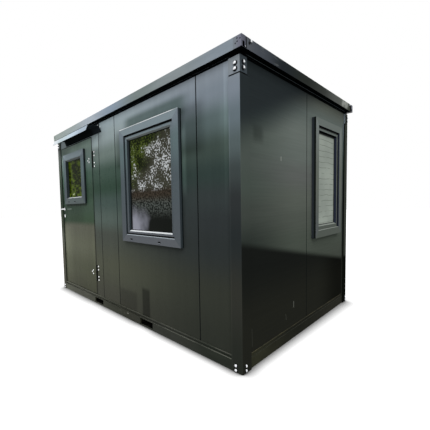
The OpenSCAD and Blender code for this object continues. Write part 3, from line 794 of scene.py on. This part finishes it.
def upright(tree, along, up, low, high):
    """1 on the side members of a mitred frame, 0 on its top and bottom."""
    def to_edge(value, least, most):
        from_low = calc(tree, "SUBTRACT", value, least)
        return calc(tree, "MINIMUM", from_low, calc(tree, "SUBTRACT", most, value))

    side, end = to_edge(along, low[0], high[0]), to_edge(up, low[1], high[1])
    mitre = 0.0015
    return fade(tree, calc(tree, "SUBTRACT", side, end), mitre, -mitre)


def front_foil_colour(low, high):
    """The foil on a frame with these corners, in painted reflection tones, with painted shade on
    the sash head and painted light on the head of the door's window.
    """
    def colour(tree, place):
        x, y, z = axes(tree, place)
        _, ny, nz = facing(tree)
        # Painted reflection tones up the frame.
        level = by_height(tree, z, [
            (0.95, (95, 99, 104)), (1.40, (92, 102, 102)), (2.05, (130, 144, 150))])
        sides = by_height(tree, z, [
            (0.95, (85, 91, 96)), (1.50, (83, 93, 98)), (1.85, (98, 115, 118)),
            (2.05, (120, 131, 140))])
        face = blend(tree, upright(tree, x, z, low, high), level, sides)
        # Painted shade on the sash head, and painted light on the head of the door's window.
        sash_head = both(tree, fade(tree, y, -1.106, -1.102), fade(tree, z, 1.985, 1.990))
        face = scaled(tree, face, fade(tree, sash_head, 0.0, 1.0, 1.0, 0.88))
        door_head = both(tree, fade(tree, x, -0.5, -0.7), fade(tree, z, 1.97, 2.00))
        face = scaled(tree, face, fade(tree, door_head, 0.0, 1.0, 1.0, 1.35))
        face = scaled(tree, face, fade(tree, grain(tree, place, 0.012), 0.3, 0.7, 0.96, 1.04))
        # Painted shade on the side returns and undersides, and a painted highlight on up-facing
        # ledges.
        outer = blend(tree, fade(tree, y, -1.094, -1.084), tone(60, 69, 73), tone(22, 28, 29))
        ledge = blend(tree, fade(tree, nz, 0.3, 0.8), outer, tone(214, 219, 222))
        return blend(tree, fade(tree, both(tree, ny, -1.0), 0.4, 0.9), ledge, face)
    return colour


def opening(node, axis="x", inset=0.0):
    """The lowest and highest corners of a window piece on its wall, drawn in by inset."""
    low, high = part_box(node)
    first, last = getattr(low, axis), getattr(high, axis)
    return (first + inset, low.z + inset), (last - inset, high.z - inset)


foil_gloss, foil_grain = (0.35, 0.5), 0.002
window_paint = front_foil_colour(*opening("front_window_frame"))
front_foil = finish("front_foil", window_paint, foil_gloss, skin=foil_grain, shine=0.02)
coat(front_foil, "front_window_frame", "front_window_sash")
door_paint = front_foil_colour(*opening("door_window_frame"))
door_foil = finish("door_foil", door_paint, foil_gloss, skin=foil_grain, shine=0.02)
coat(door_foil, "door_window_frame")


def end_foil_colour(tree, place):
    x, y, z = axes(tree, place)
    nx, _, nz = facing(tree)
    low, high = opening("end_window_frame", "y")
    # Painted reflection tones up the frame.
    level = by_height(tree, z, [(0.9, (87, 93, 87)), (2.08, (108, 116, 112))])
    sides = by_height(tree, z, [
        (0.9, (88, 93, 93)), (1.5, (102, 108, 100)), (2.08, (120, 127, 125))])
    face = blend(tree, upright(tree, y, z, low, high), level, sides)
    # Painted shade on the side returns and undersides, and painted light on up-facing ledges.
    back = blend(tree, fade(tree, x, 1.600, 1.612), tone(50, 55, 60), tone(26, 31, 29))
    ledge = blend(tree, fade(tree, nz, 0.3, 0.8), back, tone(128, 134, 130))
    return blend(tree, fade(tree, nx, 0.4, 0.9), ledge, face)


end_foil = finish("end_foil", end_foil_colour, foil_gloss, skin=foil_grain, shine=0.0)
coat(end_foil, "end_window_frame", "end_window_sash")


def ring(shape, low, high, section, seat, shares=(1, 1, 1, 1)):
    """A mitred ring inside an opening. section holds (inwards, outwards) points. shares scales
    how far it reaches in from the left, right, bottom and top."""
    left, right, bottom, top = shares
    rings = []
    for corner in range(4):
        made = []
        for inwards, out in section:
            u = low[0] + inwards * left if corner in (0, 3) else high[0] - inwards * right
            v = low[1] + inwards * bottom if corner < 2 else high[1] - inwards * top
            made.append(shape.verts.new(seat(u, v, out)))
        rings.append(made)
    for k in range(4):
        first, second = rings[k - 1], rings[k]
        for j in range(len(section)):
            shape.faces.new((first[j - 1], second[j - 1], second[j], first[j]))


def front_bead_colour(tree, place):
    nx, ny, nz = facing(tree)
    # Painted shade on sides facing right, painted highlights on up-facing ledges, and undersides
    # painted black as shade at the head and pale lower down as painted light.
    sides = blend(tree, fade(tree, nx, -0.3, 0.3), tone(88, 96, 104), tone(46, 54, 58))
    face = blend(tree, fade(tree, ny, -0.85, -0.95), sides, tone(112, 121, 127))
    z = axes(tree, place)[2]
    ledge = blend(tree, fade(tree, z, 0.985, 0.975), tone(214, 218, 221), tone(156, 164, 170))
    face = blend(tree, fade(tree, nz, 0.3, 0.6), face, ledge)
    under = blend(tree, fade(tree, z, 2.000, 1.990), tone(10, 14, 16), tone(150, 158, 158))
    return blend(tree, fade(tree, nz, -0.3, -0.6), face, under)


def end_bead_colour(tree, place):
    nx, ny, nz = facing(tree)
    # Painted shade on sides facing away, painted light on up-facing ledges, and undersides painted
    # black as shade.
    sides = blend(tree, fade(tree, ny, 0.3, -0.3), tone(60, 66, 62), tone(40, 45, 58))
    face = blend(tree, fade(tree, nx, 0.85, 0.95), sides, tone(98, 105, 103))
    face = blend(tree, fade(tree, nz, 0.3, 0.6), face, tone(122, 128, 122))
    return blend(tree, fade(tree, nz, -0.3, -0.6), face, tone(10, 13, 12))


front_bead = finish("front_bead", front_bead_colour, foil_gloss, skin=foil_grain, shine=0.02)
end_bead = finish("end_bead", end_bead_colour, foil_gloss, skin=foil_grain, shine=0.0)


def on_front(node):
    """Where the points of a ring go on the face of a piece in the front wall."""
    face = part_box(node)[0].y
    return lambda along, up, out: (along, face - out, up)


def on_end(node):
    """The same for a piece in the end wall."""
    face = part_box(node)[1].x
    return lambda along, up, out: (face + out, along, up)


frame_face, sash_face, leaf_face = 0.072, 0.0384, 0.085
frame_bead = [(-0.001, 0.0006), (0.0005, 0.0006), (0.0055, -0.0100), (-0.001, -0.0100)]
sash_bead = [(-0.0008, 0.0006), (0.0010, 0.0006), (0.0130, -0.0190), (-0.0008, -0.0190)]
frame_seal = [(0.0003, -0.001), (0.0100, -0.001), (0.0094, 0.0012), (0.0003, 0.0012)]
pane_seal = [(0.011, -0.0199), (0.0195, -0.0199), (0.0180, -0.0175), (0.0115, -0.0175)]
# Each row: window, bead finish, axis, how to seat on the face, and how far the frame seal reaches
# in at the left, right, bottom and top. The uneven reach puts black as painted shade in the recess.
for name, material, axis, seat_on, shares in (
        ("front_window", front_bead, "x", on_front, (0.6, 0.4, 2.1, 1.7)),
        ("end_window", end_bead, "y", on_end, (0.4, 1.5, 0.5, 1.7))):
    frame_hole = opening(name + "_frame", axis, frame_face)
    sash_hole = opening(name + "_sash", axis, sash_face)
    sash_seat = seat_on(name + "_sash")
    shape = bmesh.new()
    ring(shape, *frame_hole, frame_bead, seat_on(name + "_frame"))
    ring(shape, *sash_hole, sash_bead, sash_seat)
    beads = piece(name + "_beads", shape, material)
    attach(beads, "cabin")
    shape = bmesh.new()
    ring(shape, *frame_hole, frame_seal, sash_seat, shares)
    ring(shape, *sash_hole, pane_seal, sash_seat)
    gaskets = piece(name + "_gaskets", shape, rubber)
    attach(gaskets, "cabin")

shape, rubbers = bmesh.new(), bmesh.new()
door_hole, door_seat = opening("door_window_frame", "x", leaf_face), on_front("door_window_frame")
door_slope = [(-0.0008, 0.0006), (0.0010, 0.0006), (0.0150, -0.0380), (-0.0008, -0.0380)]
door_pane_seal = [(0.013, -0.0389), (0.0185, -0.0389), (0.0175, -0.0360), (0.0135, -0.0360)]
ring(shape, *door_hole, door_slope, door_seat)
ring(rubbers, *door_hole, door_pane_seal, door_seat)
door_beads = piece("door_window_beads", shape, front_bead)
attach(door_beads, "door")
door_gaskets = piece("door_window_gaskets", rubbers, rubber)
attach(door_gaskets, "door")


# A pale bead on the frame's top edge, near white as a painted highlight where the edge catches the
# sky, and greyer at its right-hand end.
def drip_highlight_colour(tree, place):
    x = axes(tree, place)[0]
    bright = mottle(tree, place, 0.05, 0.35, 0.65, (214, 219, 222), (244, 247, 249), (6, 1, 1))
    return blend(tree, fade(tree, x, 0.93, 1.01), bright, tone(150, 160, 166))


low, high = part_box("front_window_frame")
shape = bmesh.new()
drip_low = (low.x + 0.001, low.y - 0.0012, high.z - 0.0042)
drip_high = (high.x - 0.001, low.y + 0.003, high.z + 0.0026)
bar(shape, drip_low, drip_high, 0.0008)
drip_highlight_finish = finish("drip_highlight_finish", drip_highlight_colour, (0.4, 0.6), skin=0.002, shine=0.1)
drip_bead = piece("window_drip_bead", shape, drip_highlight_finish)
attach(drip_bead, "cabin")

pale_foil = patches(0.01, 0.4, 0.6, (128, 134, 142), (146, 152, 160))
cap_pale = finish("drain_cap_foil", pale_foil, foil_gloss, skin=foil_grain, shine=0.05)
half, behind, cap_edge = 0.017, 0.001, 0.0012
# The black slots stand in as painted shade inside the drain openings, under pale lids.
for name, body, face, height, middles in (
        ("window_drain", "cabin", low.y, 0.912, (0.307, 0.748)),
        ("door_window_drain", "door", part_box("door_window_frame")[0].y, 1.352, (-1.240, -1.040))):
    slots, lids = bmesh.new(), bmesh.new()
    for middle in middles:
        for shape, out, foot, top in (
                (slots, 0.0034, -0.001, 0.0135), (lids, 0.0050, -0.006, -0.0012)):
            near = (middle - half, face - out, height + foot)
            bar(shape, near, (middle + half, face + behind, height + top), cap_edge)
    holes = piece(name + "_slots", slots, rubber)
    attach(holes, body)
    covers = piece(name + "_caps", lids, cap_pale)
    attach(covers, body)


pane_gloss = (0.03, 0.06)


def reveal(tree, along, up, low, high, left, right, top):
    """0 beside the pane's edges, where the glass holds a painted reflection of the dark frame and
    its shaded recess, 1 inside.
    """
    from_left = fade(tree, calc(tree, "SUBTRACT", along, low[0]), left * 0.7, left * 1.3)
    from_right = fade(tree, calc(tree, "SUBTRACT", high[0], along), right * 0.5, right * 1.5)
    from_top = fade(tree, calc(tree, "SUBTRACT", high[1], up), top * 0.6, top * 1.4)
    return both(tree, from_left, from_right, from_top)


def front_glass_colour(tree, place):
    """Coated glass with a painted reflection of the yard: leaves and sky above, paler in the
    middle, and dark at the foot.
    """
    x, _, z = axes(tree, place)
    clumps = grain(tree, place, 0.15, (1, 1, 1.2), 2.0)
    fine = grain(tree, place, 0.018, (1, 1, 1), 5.0)
    amount = calc(tree, "ADD", both(tree, clumps, 0.4), both(tree, fine, 0.6))
    leafy = blend(tree, fade(tree, amount, 0.44, 0.58), tone(20, 26, 8), tone(74, 88, 30))
    slope = calc(tree, "SUBTRACT", x, both(tree, z, 0.90))
    bright = fade(tree, calc(tree, "ADD", slope, both(tree, clumps, 0.5)), -0.92, -0.64)
    edge = calc(tree, "ADD", amount, both(tree, bright, 0.095))
    dim = blend(tree, bright, leafy, tone(62, 62, 52))
    pale = blend(tree, fade(tree, edge, 0.60, 0.68), dim, tone(196, 200, 202))
    # Painted reflection lower down: a pale patch, a speckled band and a warm band.
    across, rise = calc(tree, "SUBTRACT", x, 0.30), calc(tree, "SUBTRACT", z, 1.08)
    square = calc(tree, "ADD", both(tree, across, across), both(tree, rise, rise, 1.6))
    off = calc(tree, "SQRT", square)
    patch = fade(tree, calc(tree, "ADD", off, both(tree, clumps, 0.25)), 0.42, 0.20)
    reflected_speckle = both(tree, fade(tree, fine, 0.42, 0.6), fade(tree, z, 1.12, 1.28))
    low_reflection = blend(tree, reflected_speckle, tone(20, 23, 20), tone(84, 90, 86))
    wash = blend(tree, patch, low_reflection, tone(146, 148, 160))
    warm = blend(tree, fade(tree, fine, 0.4, 0.6), tone(38, 34, 28), tone(66, 58, 48))
    foot = blend(tree, fade(tree, z, 1.28, 1.38), wash, warm)
    seen_in = blend(tree, fade(tree, z, 1.40, 1.46), foot, pale)
    inside = reveal(tree, x, z, *opening("front_window_glass"), 0.036, 0.016, 0.020)
    return blend(tree, inside, tone(14, 19, 19), seen_in)


front_glass = finish("front_glass", front_glass_colour, pane_gloss, relief=0.0, shine=0.02)
coat(front_glass, "front_window_glass")


def door_glass_colour(tree, place):
    x, _, z = axes(tree, place)
    # Painted reflection of leaves and sky in the glass, dark at the edges.
    clumps = grain(tree, place, 0.16, (1, 1, 1), 2.0)
    fine = grain(tree, place, 0.036, (2.0, 1, 1), 4.0)
    amount = calc(tree, "ADD", both(tree, clumps, 0.4), both(tree, fine, 0.6))
    leafy = blend(tree, fade(tree, amount, 0.42, 0.60), tone(22, 30, 4), tone(82, 101, 24))
    pale = blend(tree, fade(tree, amount, 0.63, 0.70), leafy, tone(186, 194, 160))
    inside = reveal(tree, x, z, *opening("door_window_glass"), 0.006, 0.004, 0.008)
    return blend(tree, inside, tone(16, 22, 18), pale)


door_glass = finish("door_glass", door_glass_colour, pane_gloss, relief=0.0, shine=0.02)
coat(door_glass, "door_window_glass")


def end_glass_colour(tree, place):
    _, y, z = axes(tree, place)
    # Painted reflection of a pale boarded wall, with its level lines, dark at the edges.
    pale = mottle(tree, place, 0.25, 0.3, 0.7, (142, 150, 142), (158, 166, 157), (1, 2, 1))
    wavy = calc(tree, "ADD", z, both(tree, grain(tree, place, 0.18), 0.03))
    course = calc(tree, "FRACT", both(tree, wavy, 1 / 0.058))
    broken = fade(tree, grain(tree, place, 0.06, (1, 3, 1)), 0.38, 0.52)
    line = both(tree, between(tree, course, 0.10, 0.12, 0.05), broken)
    pane_with_board_reflection = blend(tree, both(tree, line, 0.7), pale, tone(70, 78, 70))
    inside = reveal(tree, y, z, *opening("end_window_glass", "y"), 0.006, 0.030, 0.026)
    return blend(tree, inside, tone(16, 19, 18), pane_with_board_reflection)


end_glass = finish("end_glass", end_glass_colour, pane_gloss, relief=0.0, shine=0.0)
coat(end_glass, "end_window_glass")


# ---- Door ----
# A flush insulated leaf in the wall colour on two lift-off hinges, whose plates are painted with
# the wall and whose knuckles are black. The lever, rose and key plate are bright satin metal.

def leaf_colour(tree, place):
    """The wall's paint as a painted reflection of the yard, with painted light towards the lock and
    by the hinges, painted shade round the window and under the hood, and a painted reflection of
    the lever.
    """
    x, _, z = axes(tree, place)
    down = by_height(tree, z, [
        (0.14, (70, 72, 58)), (0.40, (79, 82, 66)), (0.75, (96, 99, 83)), (1.00, (92, 94, 81)),
        (1.09, (51, 69, 52)), (1.25, (54, 71, 58)), (1.50, (55, 76, 62)), (1.70, (70, 94, 81)),
        (1.90, (110, 129, 124)), (2.12, (146, 168, 158))])
    # Painted light towards the lock, low on the lock side and by the hinges.
    to_lock = fade(tree, x, -0.8, -1.45)
    pale = both(tree, to_lock, fade(tree, z, 1.35, 1.55), fade(tree, z, 2.08, 1.95))
    low = both(tree, fade(tree, x, -1.15, -1.45), fade(tree, z, 1.04, 0.95))
    lit = lighter(tree, down, calc(tree, "ADD", both(tree, pale, 0.30), both(tree, low, 0.35)))
    by_hinges = fade(tree, x, -1.00, -0.72)
    upper = both(tree, by_hinges, fade(tree, z, 2.00, 2.10), 0.28)
    lower = both(tree, by_hinges, between(tree, z, 1.10, 1.34, 0.08), 0.34)
    lit = lighter(tree, lit, calc(tree, "ADD", upper, lower))
    # Painted shade round the window and under the hood.
    beside = area(tree, x, z, (-0.745, -0.728, 1.32, 2.06), (0.008, 0.01))
    under = area(tree, x, z, (-1.38, -0.74, 1.300, 1.327), (0.01, 0.012))
    hood_shade = both(tree, fade(tree, x, -1.05, -1.40), fade(tree, z, 1.98, 2.10))
    round_window = calc(tree, "MAXIMUM", both(tree, beside, 0.25), both(tree, under, 0.35))
    lit = darker(tree, lit, calc(tree, "MAXIMUM", round_window, both(tree, hood_shade, 0.70)))
    # A painted reflection of the lever in the gloss, beside it.
    lever_reflection = scratch(tree, x, z, (-1.375, 1.254), (-1.235, 1.256), 0.009)
    lit = blend(tree, both(tree, lever_reflection, 0.5), lit, tone(160, 168, 162))
    streaks = fade(tree, grain(tree, place, 0.05, (1, 1, 14)), 0.3, 0.7, 0.94, 1.05)
    return lined(tree, place, door_gap(tree, place, scaled(tree, lit, streaks)))


leaf_coat = finish("leaf_coat", leaf_colour, (0.25, 0.4), relief=0.0002, shine=0.02)
coat(leaf_coat, "door_leaf")


def hinge_colour(tree, place):
    """Wall colour on the plates, black on the knuckle."""
    x = axes(tree, place)[0]
    black = mottle(tree, place, 0.01, 0.4, 0.7, (6, 8, 8), (20, 22, 21))
    leaf, wall = leaf_colour(tree, place), front_colour(tree, place)
    paint = blend(tree, fade(tree, x, -0.53, -0.51), leaf, wall)
    return blend(tree, between(tree, x, -0.5290, -0.5110, 0.001), paint, black)


hinge_coat = finish("hinge_coat", hinge_colour, (0.4, 0.6), shine=0.05)
coat(hinge_coat, "hinge_plates", "hinge_flaps")


def satin_colour(tree, place):
    nz = facing(tree)[2]
    bright = mottle(tree, place, 0.004, 0.4, 0.6, (228, 231, 234), (250, 251, 252))
    y, z = axes(tree, place)[1:]
    rose = both(tree, fade(tree, y, -1.0840, -1.0832), fade(tree, z, 1.19, 1.20))
    bright = blend(tree, both(tree, rose, 0.75), bright, tone(96, 104, 100))
    # Down-facing faces are painted darker as shade.
    return blend(tree, fade(tree, nz, -0.35, -0.8), bright, tone(120, 124, 128))


satin = finish(
    "satin_metal", satin_colour, (0.25, 0.4), skin=0.001, relief=0.0001, shine=0.5, metal=1.0)
coat(satin, "lock_plates", "lever_handle")

plate_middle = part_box("hinge_plates")[1].x - 0.018
hinge_out = leaf_low.y - 0.003
hinge_heights = (0.409, 1.883)
plate_rises, plate_head = (-0.090, -0.046, 0.046, 0.090), dome(0.0108, 0.0055)
flap_spots, flap_head = ((-0.624, 0.0235), (-0.624, -0.0235), (-0.653, 0.0)), dome(0.0100, 0.0055)
fixed, moving = bmesh.new(), bmesh.new()
for middle in hinge_heights:
    for rise in plate_rises:
        lathe(fixed, (plate_middle, hinge_out, middle + rise), (0, -1, 0), plate_head, 16)
    for across, rise in flap_spots:
        lathe(moving, (across, hinge_out, middle + rise), (0, -1, 0), flap_head, 16)

bright_zinc = patches(0.003, 0.4, 0.6, (232, 235, 236), (252, 252, 252))
screw_metal = finish(
    "screw_metal", bright_zinc, (0.25, 0.4), skin=0.001, relief=0.0001, shine=0.5, metal=1.0)
jamb_screws = piece("hinge_plate_screws", fixed, screw_metal)
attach(jamb_screws, "cabin")
flap_screws = piece("hinge_flap_screws", moving, screw_metal)
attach(flap_screws, "door")

lock_low, lock_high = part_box("lock_plates")
lever_x = (lock_low.x + lock_high.x) / 2
plate_foot = lock_low.z + 0.016
barrels, keyways = bmesh.new(), bmesh.new()
barrel = [(0, -0.001), (0.0090, -0.001), (0.0090, 0.0030), (0.0082, 0.0038), (0, 0.0038)]
barrel_up, slot_half, slot_foot, slot_head = 0.014, 0.0009, 0.009, 0.019
for face, way in ((lock_low.y, -1), (lock_high.y, 1)):
    lathe(barrels, (lever_x, face, plate_foot + barrel_up), (0, way, 0), barrel)
    ends = sorted((face + way * 0.0020, face + way * 0.0042))
    low = (lever_x - slot_half, ends[0], plate_foot + slot_foot)
    bar(keyways, low, (lever_x + slot_half, ends[1], plate_foot + slot_head), 0.0002)
key_barrels = piece("key_barrels", barrels, screw_metal)
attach(key_barrels, "door")
key_slots = piece("key_slots", keyways, rubber)
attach(key_slots, "door")


# ---- Rain hood ----
# One bent sheet over the door, coated in the wall colour and screwed through its flange. Its lip
# and top are painted light where they catch the sky, and everything under it is painted dark as
# shade.

def hood_colour(tree, place):
    x, y, _ = axes(tree, place)
    _, ny, nz = facing(tree)
    lip = bands(tree, calc(tree, "ADD", x, 1.4), 1.2, [
        (0.1, (218, 224, 228)), (0.4, (184, 198, 204)), (0.7, (186, 202, 214)),
        (1.0, (162, 176, 189))])
    top = blend(tree, fade(tree, nz, 0.55, 0.8), lip, tone(150, 158, 160))
    shade = blend(tree, fade(tree, x, -0.52, -0.44), tone(28, 33, 34), tone(44, 50, 55))
    front_lip = both(tree, fade(tree, ny, -0.6, -0.85), fade(tree, y, -1.24, -1.26))
    lit = calc(tree, "MAXIMUM", front_lip, fade(tree, nz, 0.3, 0.6))
    return blend(tree, lit, shade, top)


coat(finish("hood_coat", hood_colour, (0.3, 0.4), shine=0.0), "rain_hood")

hood_low, hood_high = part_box("rain_hood")
shape = bmesh.new()
screws, margin, flange_t, flange_z = 5, 0.075, 0.002, 2.278
for k in range(screws):
    x = hood_low.x + margin + (hood_high.x - hood_low.x - 2 * margin) * k / (screws - 1)
    lathe(shape, (x, front_face - flange_t, flange_z), (0, -1, 0), dome(0.0075, 0.0045), 16)
lathe(shape, (hood_high.x - 0.030, front_face, 2.243), (0, -1, 0), dome(0.0095, 0.0080), 16)
hood_screws = piece("hood_screws", shape, screw_metal)
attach(hood_screws, "cabin")


# ---- Stage ----
# A white floor that holds a soft shadow close to the base, under an even white sky. One weak and
# very wide sun sets the faces apart.

floor = bpy.data.meshes.new("ground")
far = 40
corners = [(-far, -far, 0), (far, -far, 0), (far, far, 0), (-far, far, 0)]
floor.from_pydata(corners, [], [(0, 1, 2, 3)])
ground = bpy.data.objects.new("ground", floor)
ground.location.z = -0.0005
bpy.context.scene.collection.objects.link(ground)


def seen(tree):
    """1 where the eye, a reflection or glass looks, 0 where light is gathered."""
    path = add(tree, "ShaderNodeLightPath").outputs
    return calc(tree, "MAXIMUM", path["Is Camera Ray"],
                calc(tree, "MAXIMUM", path["Is Glossy Ray"], path["Is Transmission Ray"]))


white = bpy.data.materials.new("ground_white")
white.use_nodes = True
tree = white.node_tree
shader = tree.nodes["Principled BSDF"]
shader.inputs["Base Color"].default_value = (0.22, 0.22, 0.22, 1)
shader.inputs["Roughness"].default_value = 1
shader.inputs["Specular IOR Level"].default_value = 0
shader.inputs["Emission Color"].default_value = (1, 1, 1, 1)
spot = add(tree, "ShaderNodeTexCoord").outputs["Object"]
near_corner = {0: spot, 1: (1.6, -1.1, 0)}
off = add(tree, "ShaderNodeVectorMath", near_corner, operation="DISTANCE").outputs["Value"]
reach = {"Distance": fade(tree, off, 0.0, 3.2, 0.12, 0.22)}
near = add(tree, "ShaderNodeAmbientOcclusion", reach, samples=16, only_local=False).outputs["AO"]
shadow = {"Value": near, "From Min": 0.50, "From Max": 0.96}
open_air = add(tree, "ShaderNodeMapRange", shadow).outputs["Result"]
tree.links.new(both(tree, seen(tree), open_air), shader.inputs["Emission Strength"])
floor.materials.append(white)

world = bpy.data.worlds.new("sky")
world.use_nodes = True
bpy.context.scene.world = world
tree = world.node_tree
sky = tree.nodes["Background"]
sky.inputs["Color"].default_value = (1, 1, 1, 1)
sky.inputs["Strength"].default_value = 1.0

lamp = bpy.data.objects.new("high_cloud", bpy.data.lights.new("high_cloud", "SUN"))
lamp.data.energy = 1.5
lamp.data.angle = math.radians(60)
lamp.rotation_euler = (math.radians(35), 0, math.radians(40))
bpy.context.scene.collection.objects.link(lamp)


# ---- Camera ----
# Stands low off the right-hand end of the door side, turned towards the corner. The lens is
# shifted sideways, so that the whole cabin is in view.

def place_camera(heading, pitch, roll, place):
    """The camera's matrix from its compass heading, its tilt and its place."""
    level = math.cos(pitch)
    ahead = Vector((math.sin(heading) * level, math.cos(heading) * level, math.sin(pitch)))
    right = ahead.cross(Vector((0, 0, 1))).normalized()
    down = ahead.cross(right)
    across = right * math.cos(roll) - down * math.sin(roll)
    drop = right * math.sin(roll) + down * math.cos(roll)
    turned = Matrix((across, -drop, -ahead)).transposed().to_4x4()
    return Matrix.Translation(place) @ turned


camera = bpy.data.objects.new("camera", bpy.data.cameras.new("camera"))
camera.data.sensor_width = 36
camera.data.lens = 23.4966
camera.data.shift_x = 0.16116
camera.data.shift_y = 0.01675
camera.data.clip_start = 0.05
heading, pitch, roll = (math.radians(turn) for turn in (-50.7191, -3.3593, -1.7411))
camera.matrix_world = place_camera(heading, pitch, roll, Vector((2.7118, -2.8785, 1.2696)))
bpy.context.scene.collection.objects.link(camera)
bpy.context.scene.camera = camera
bpy.context.scene.view_settings.view_transform = "Standard"
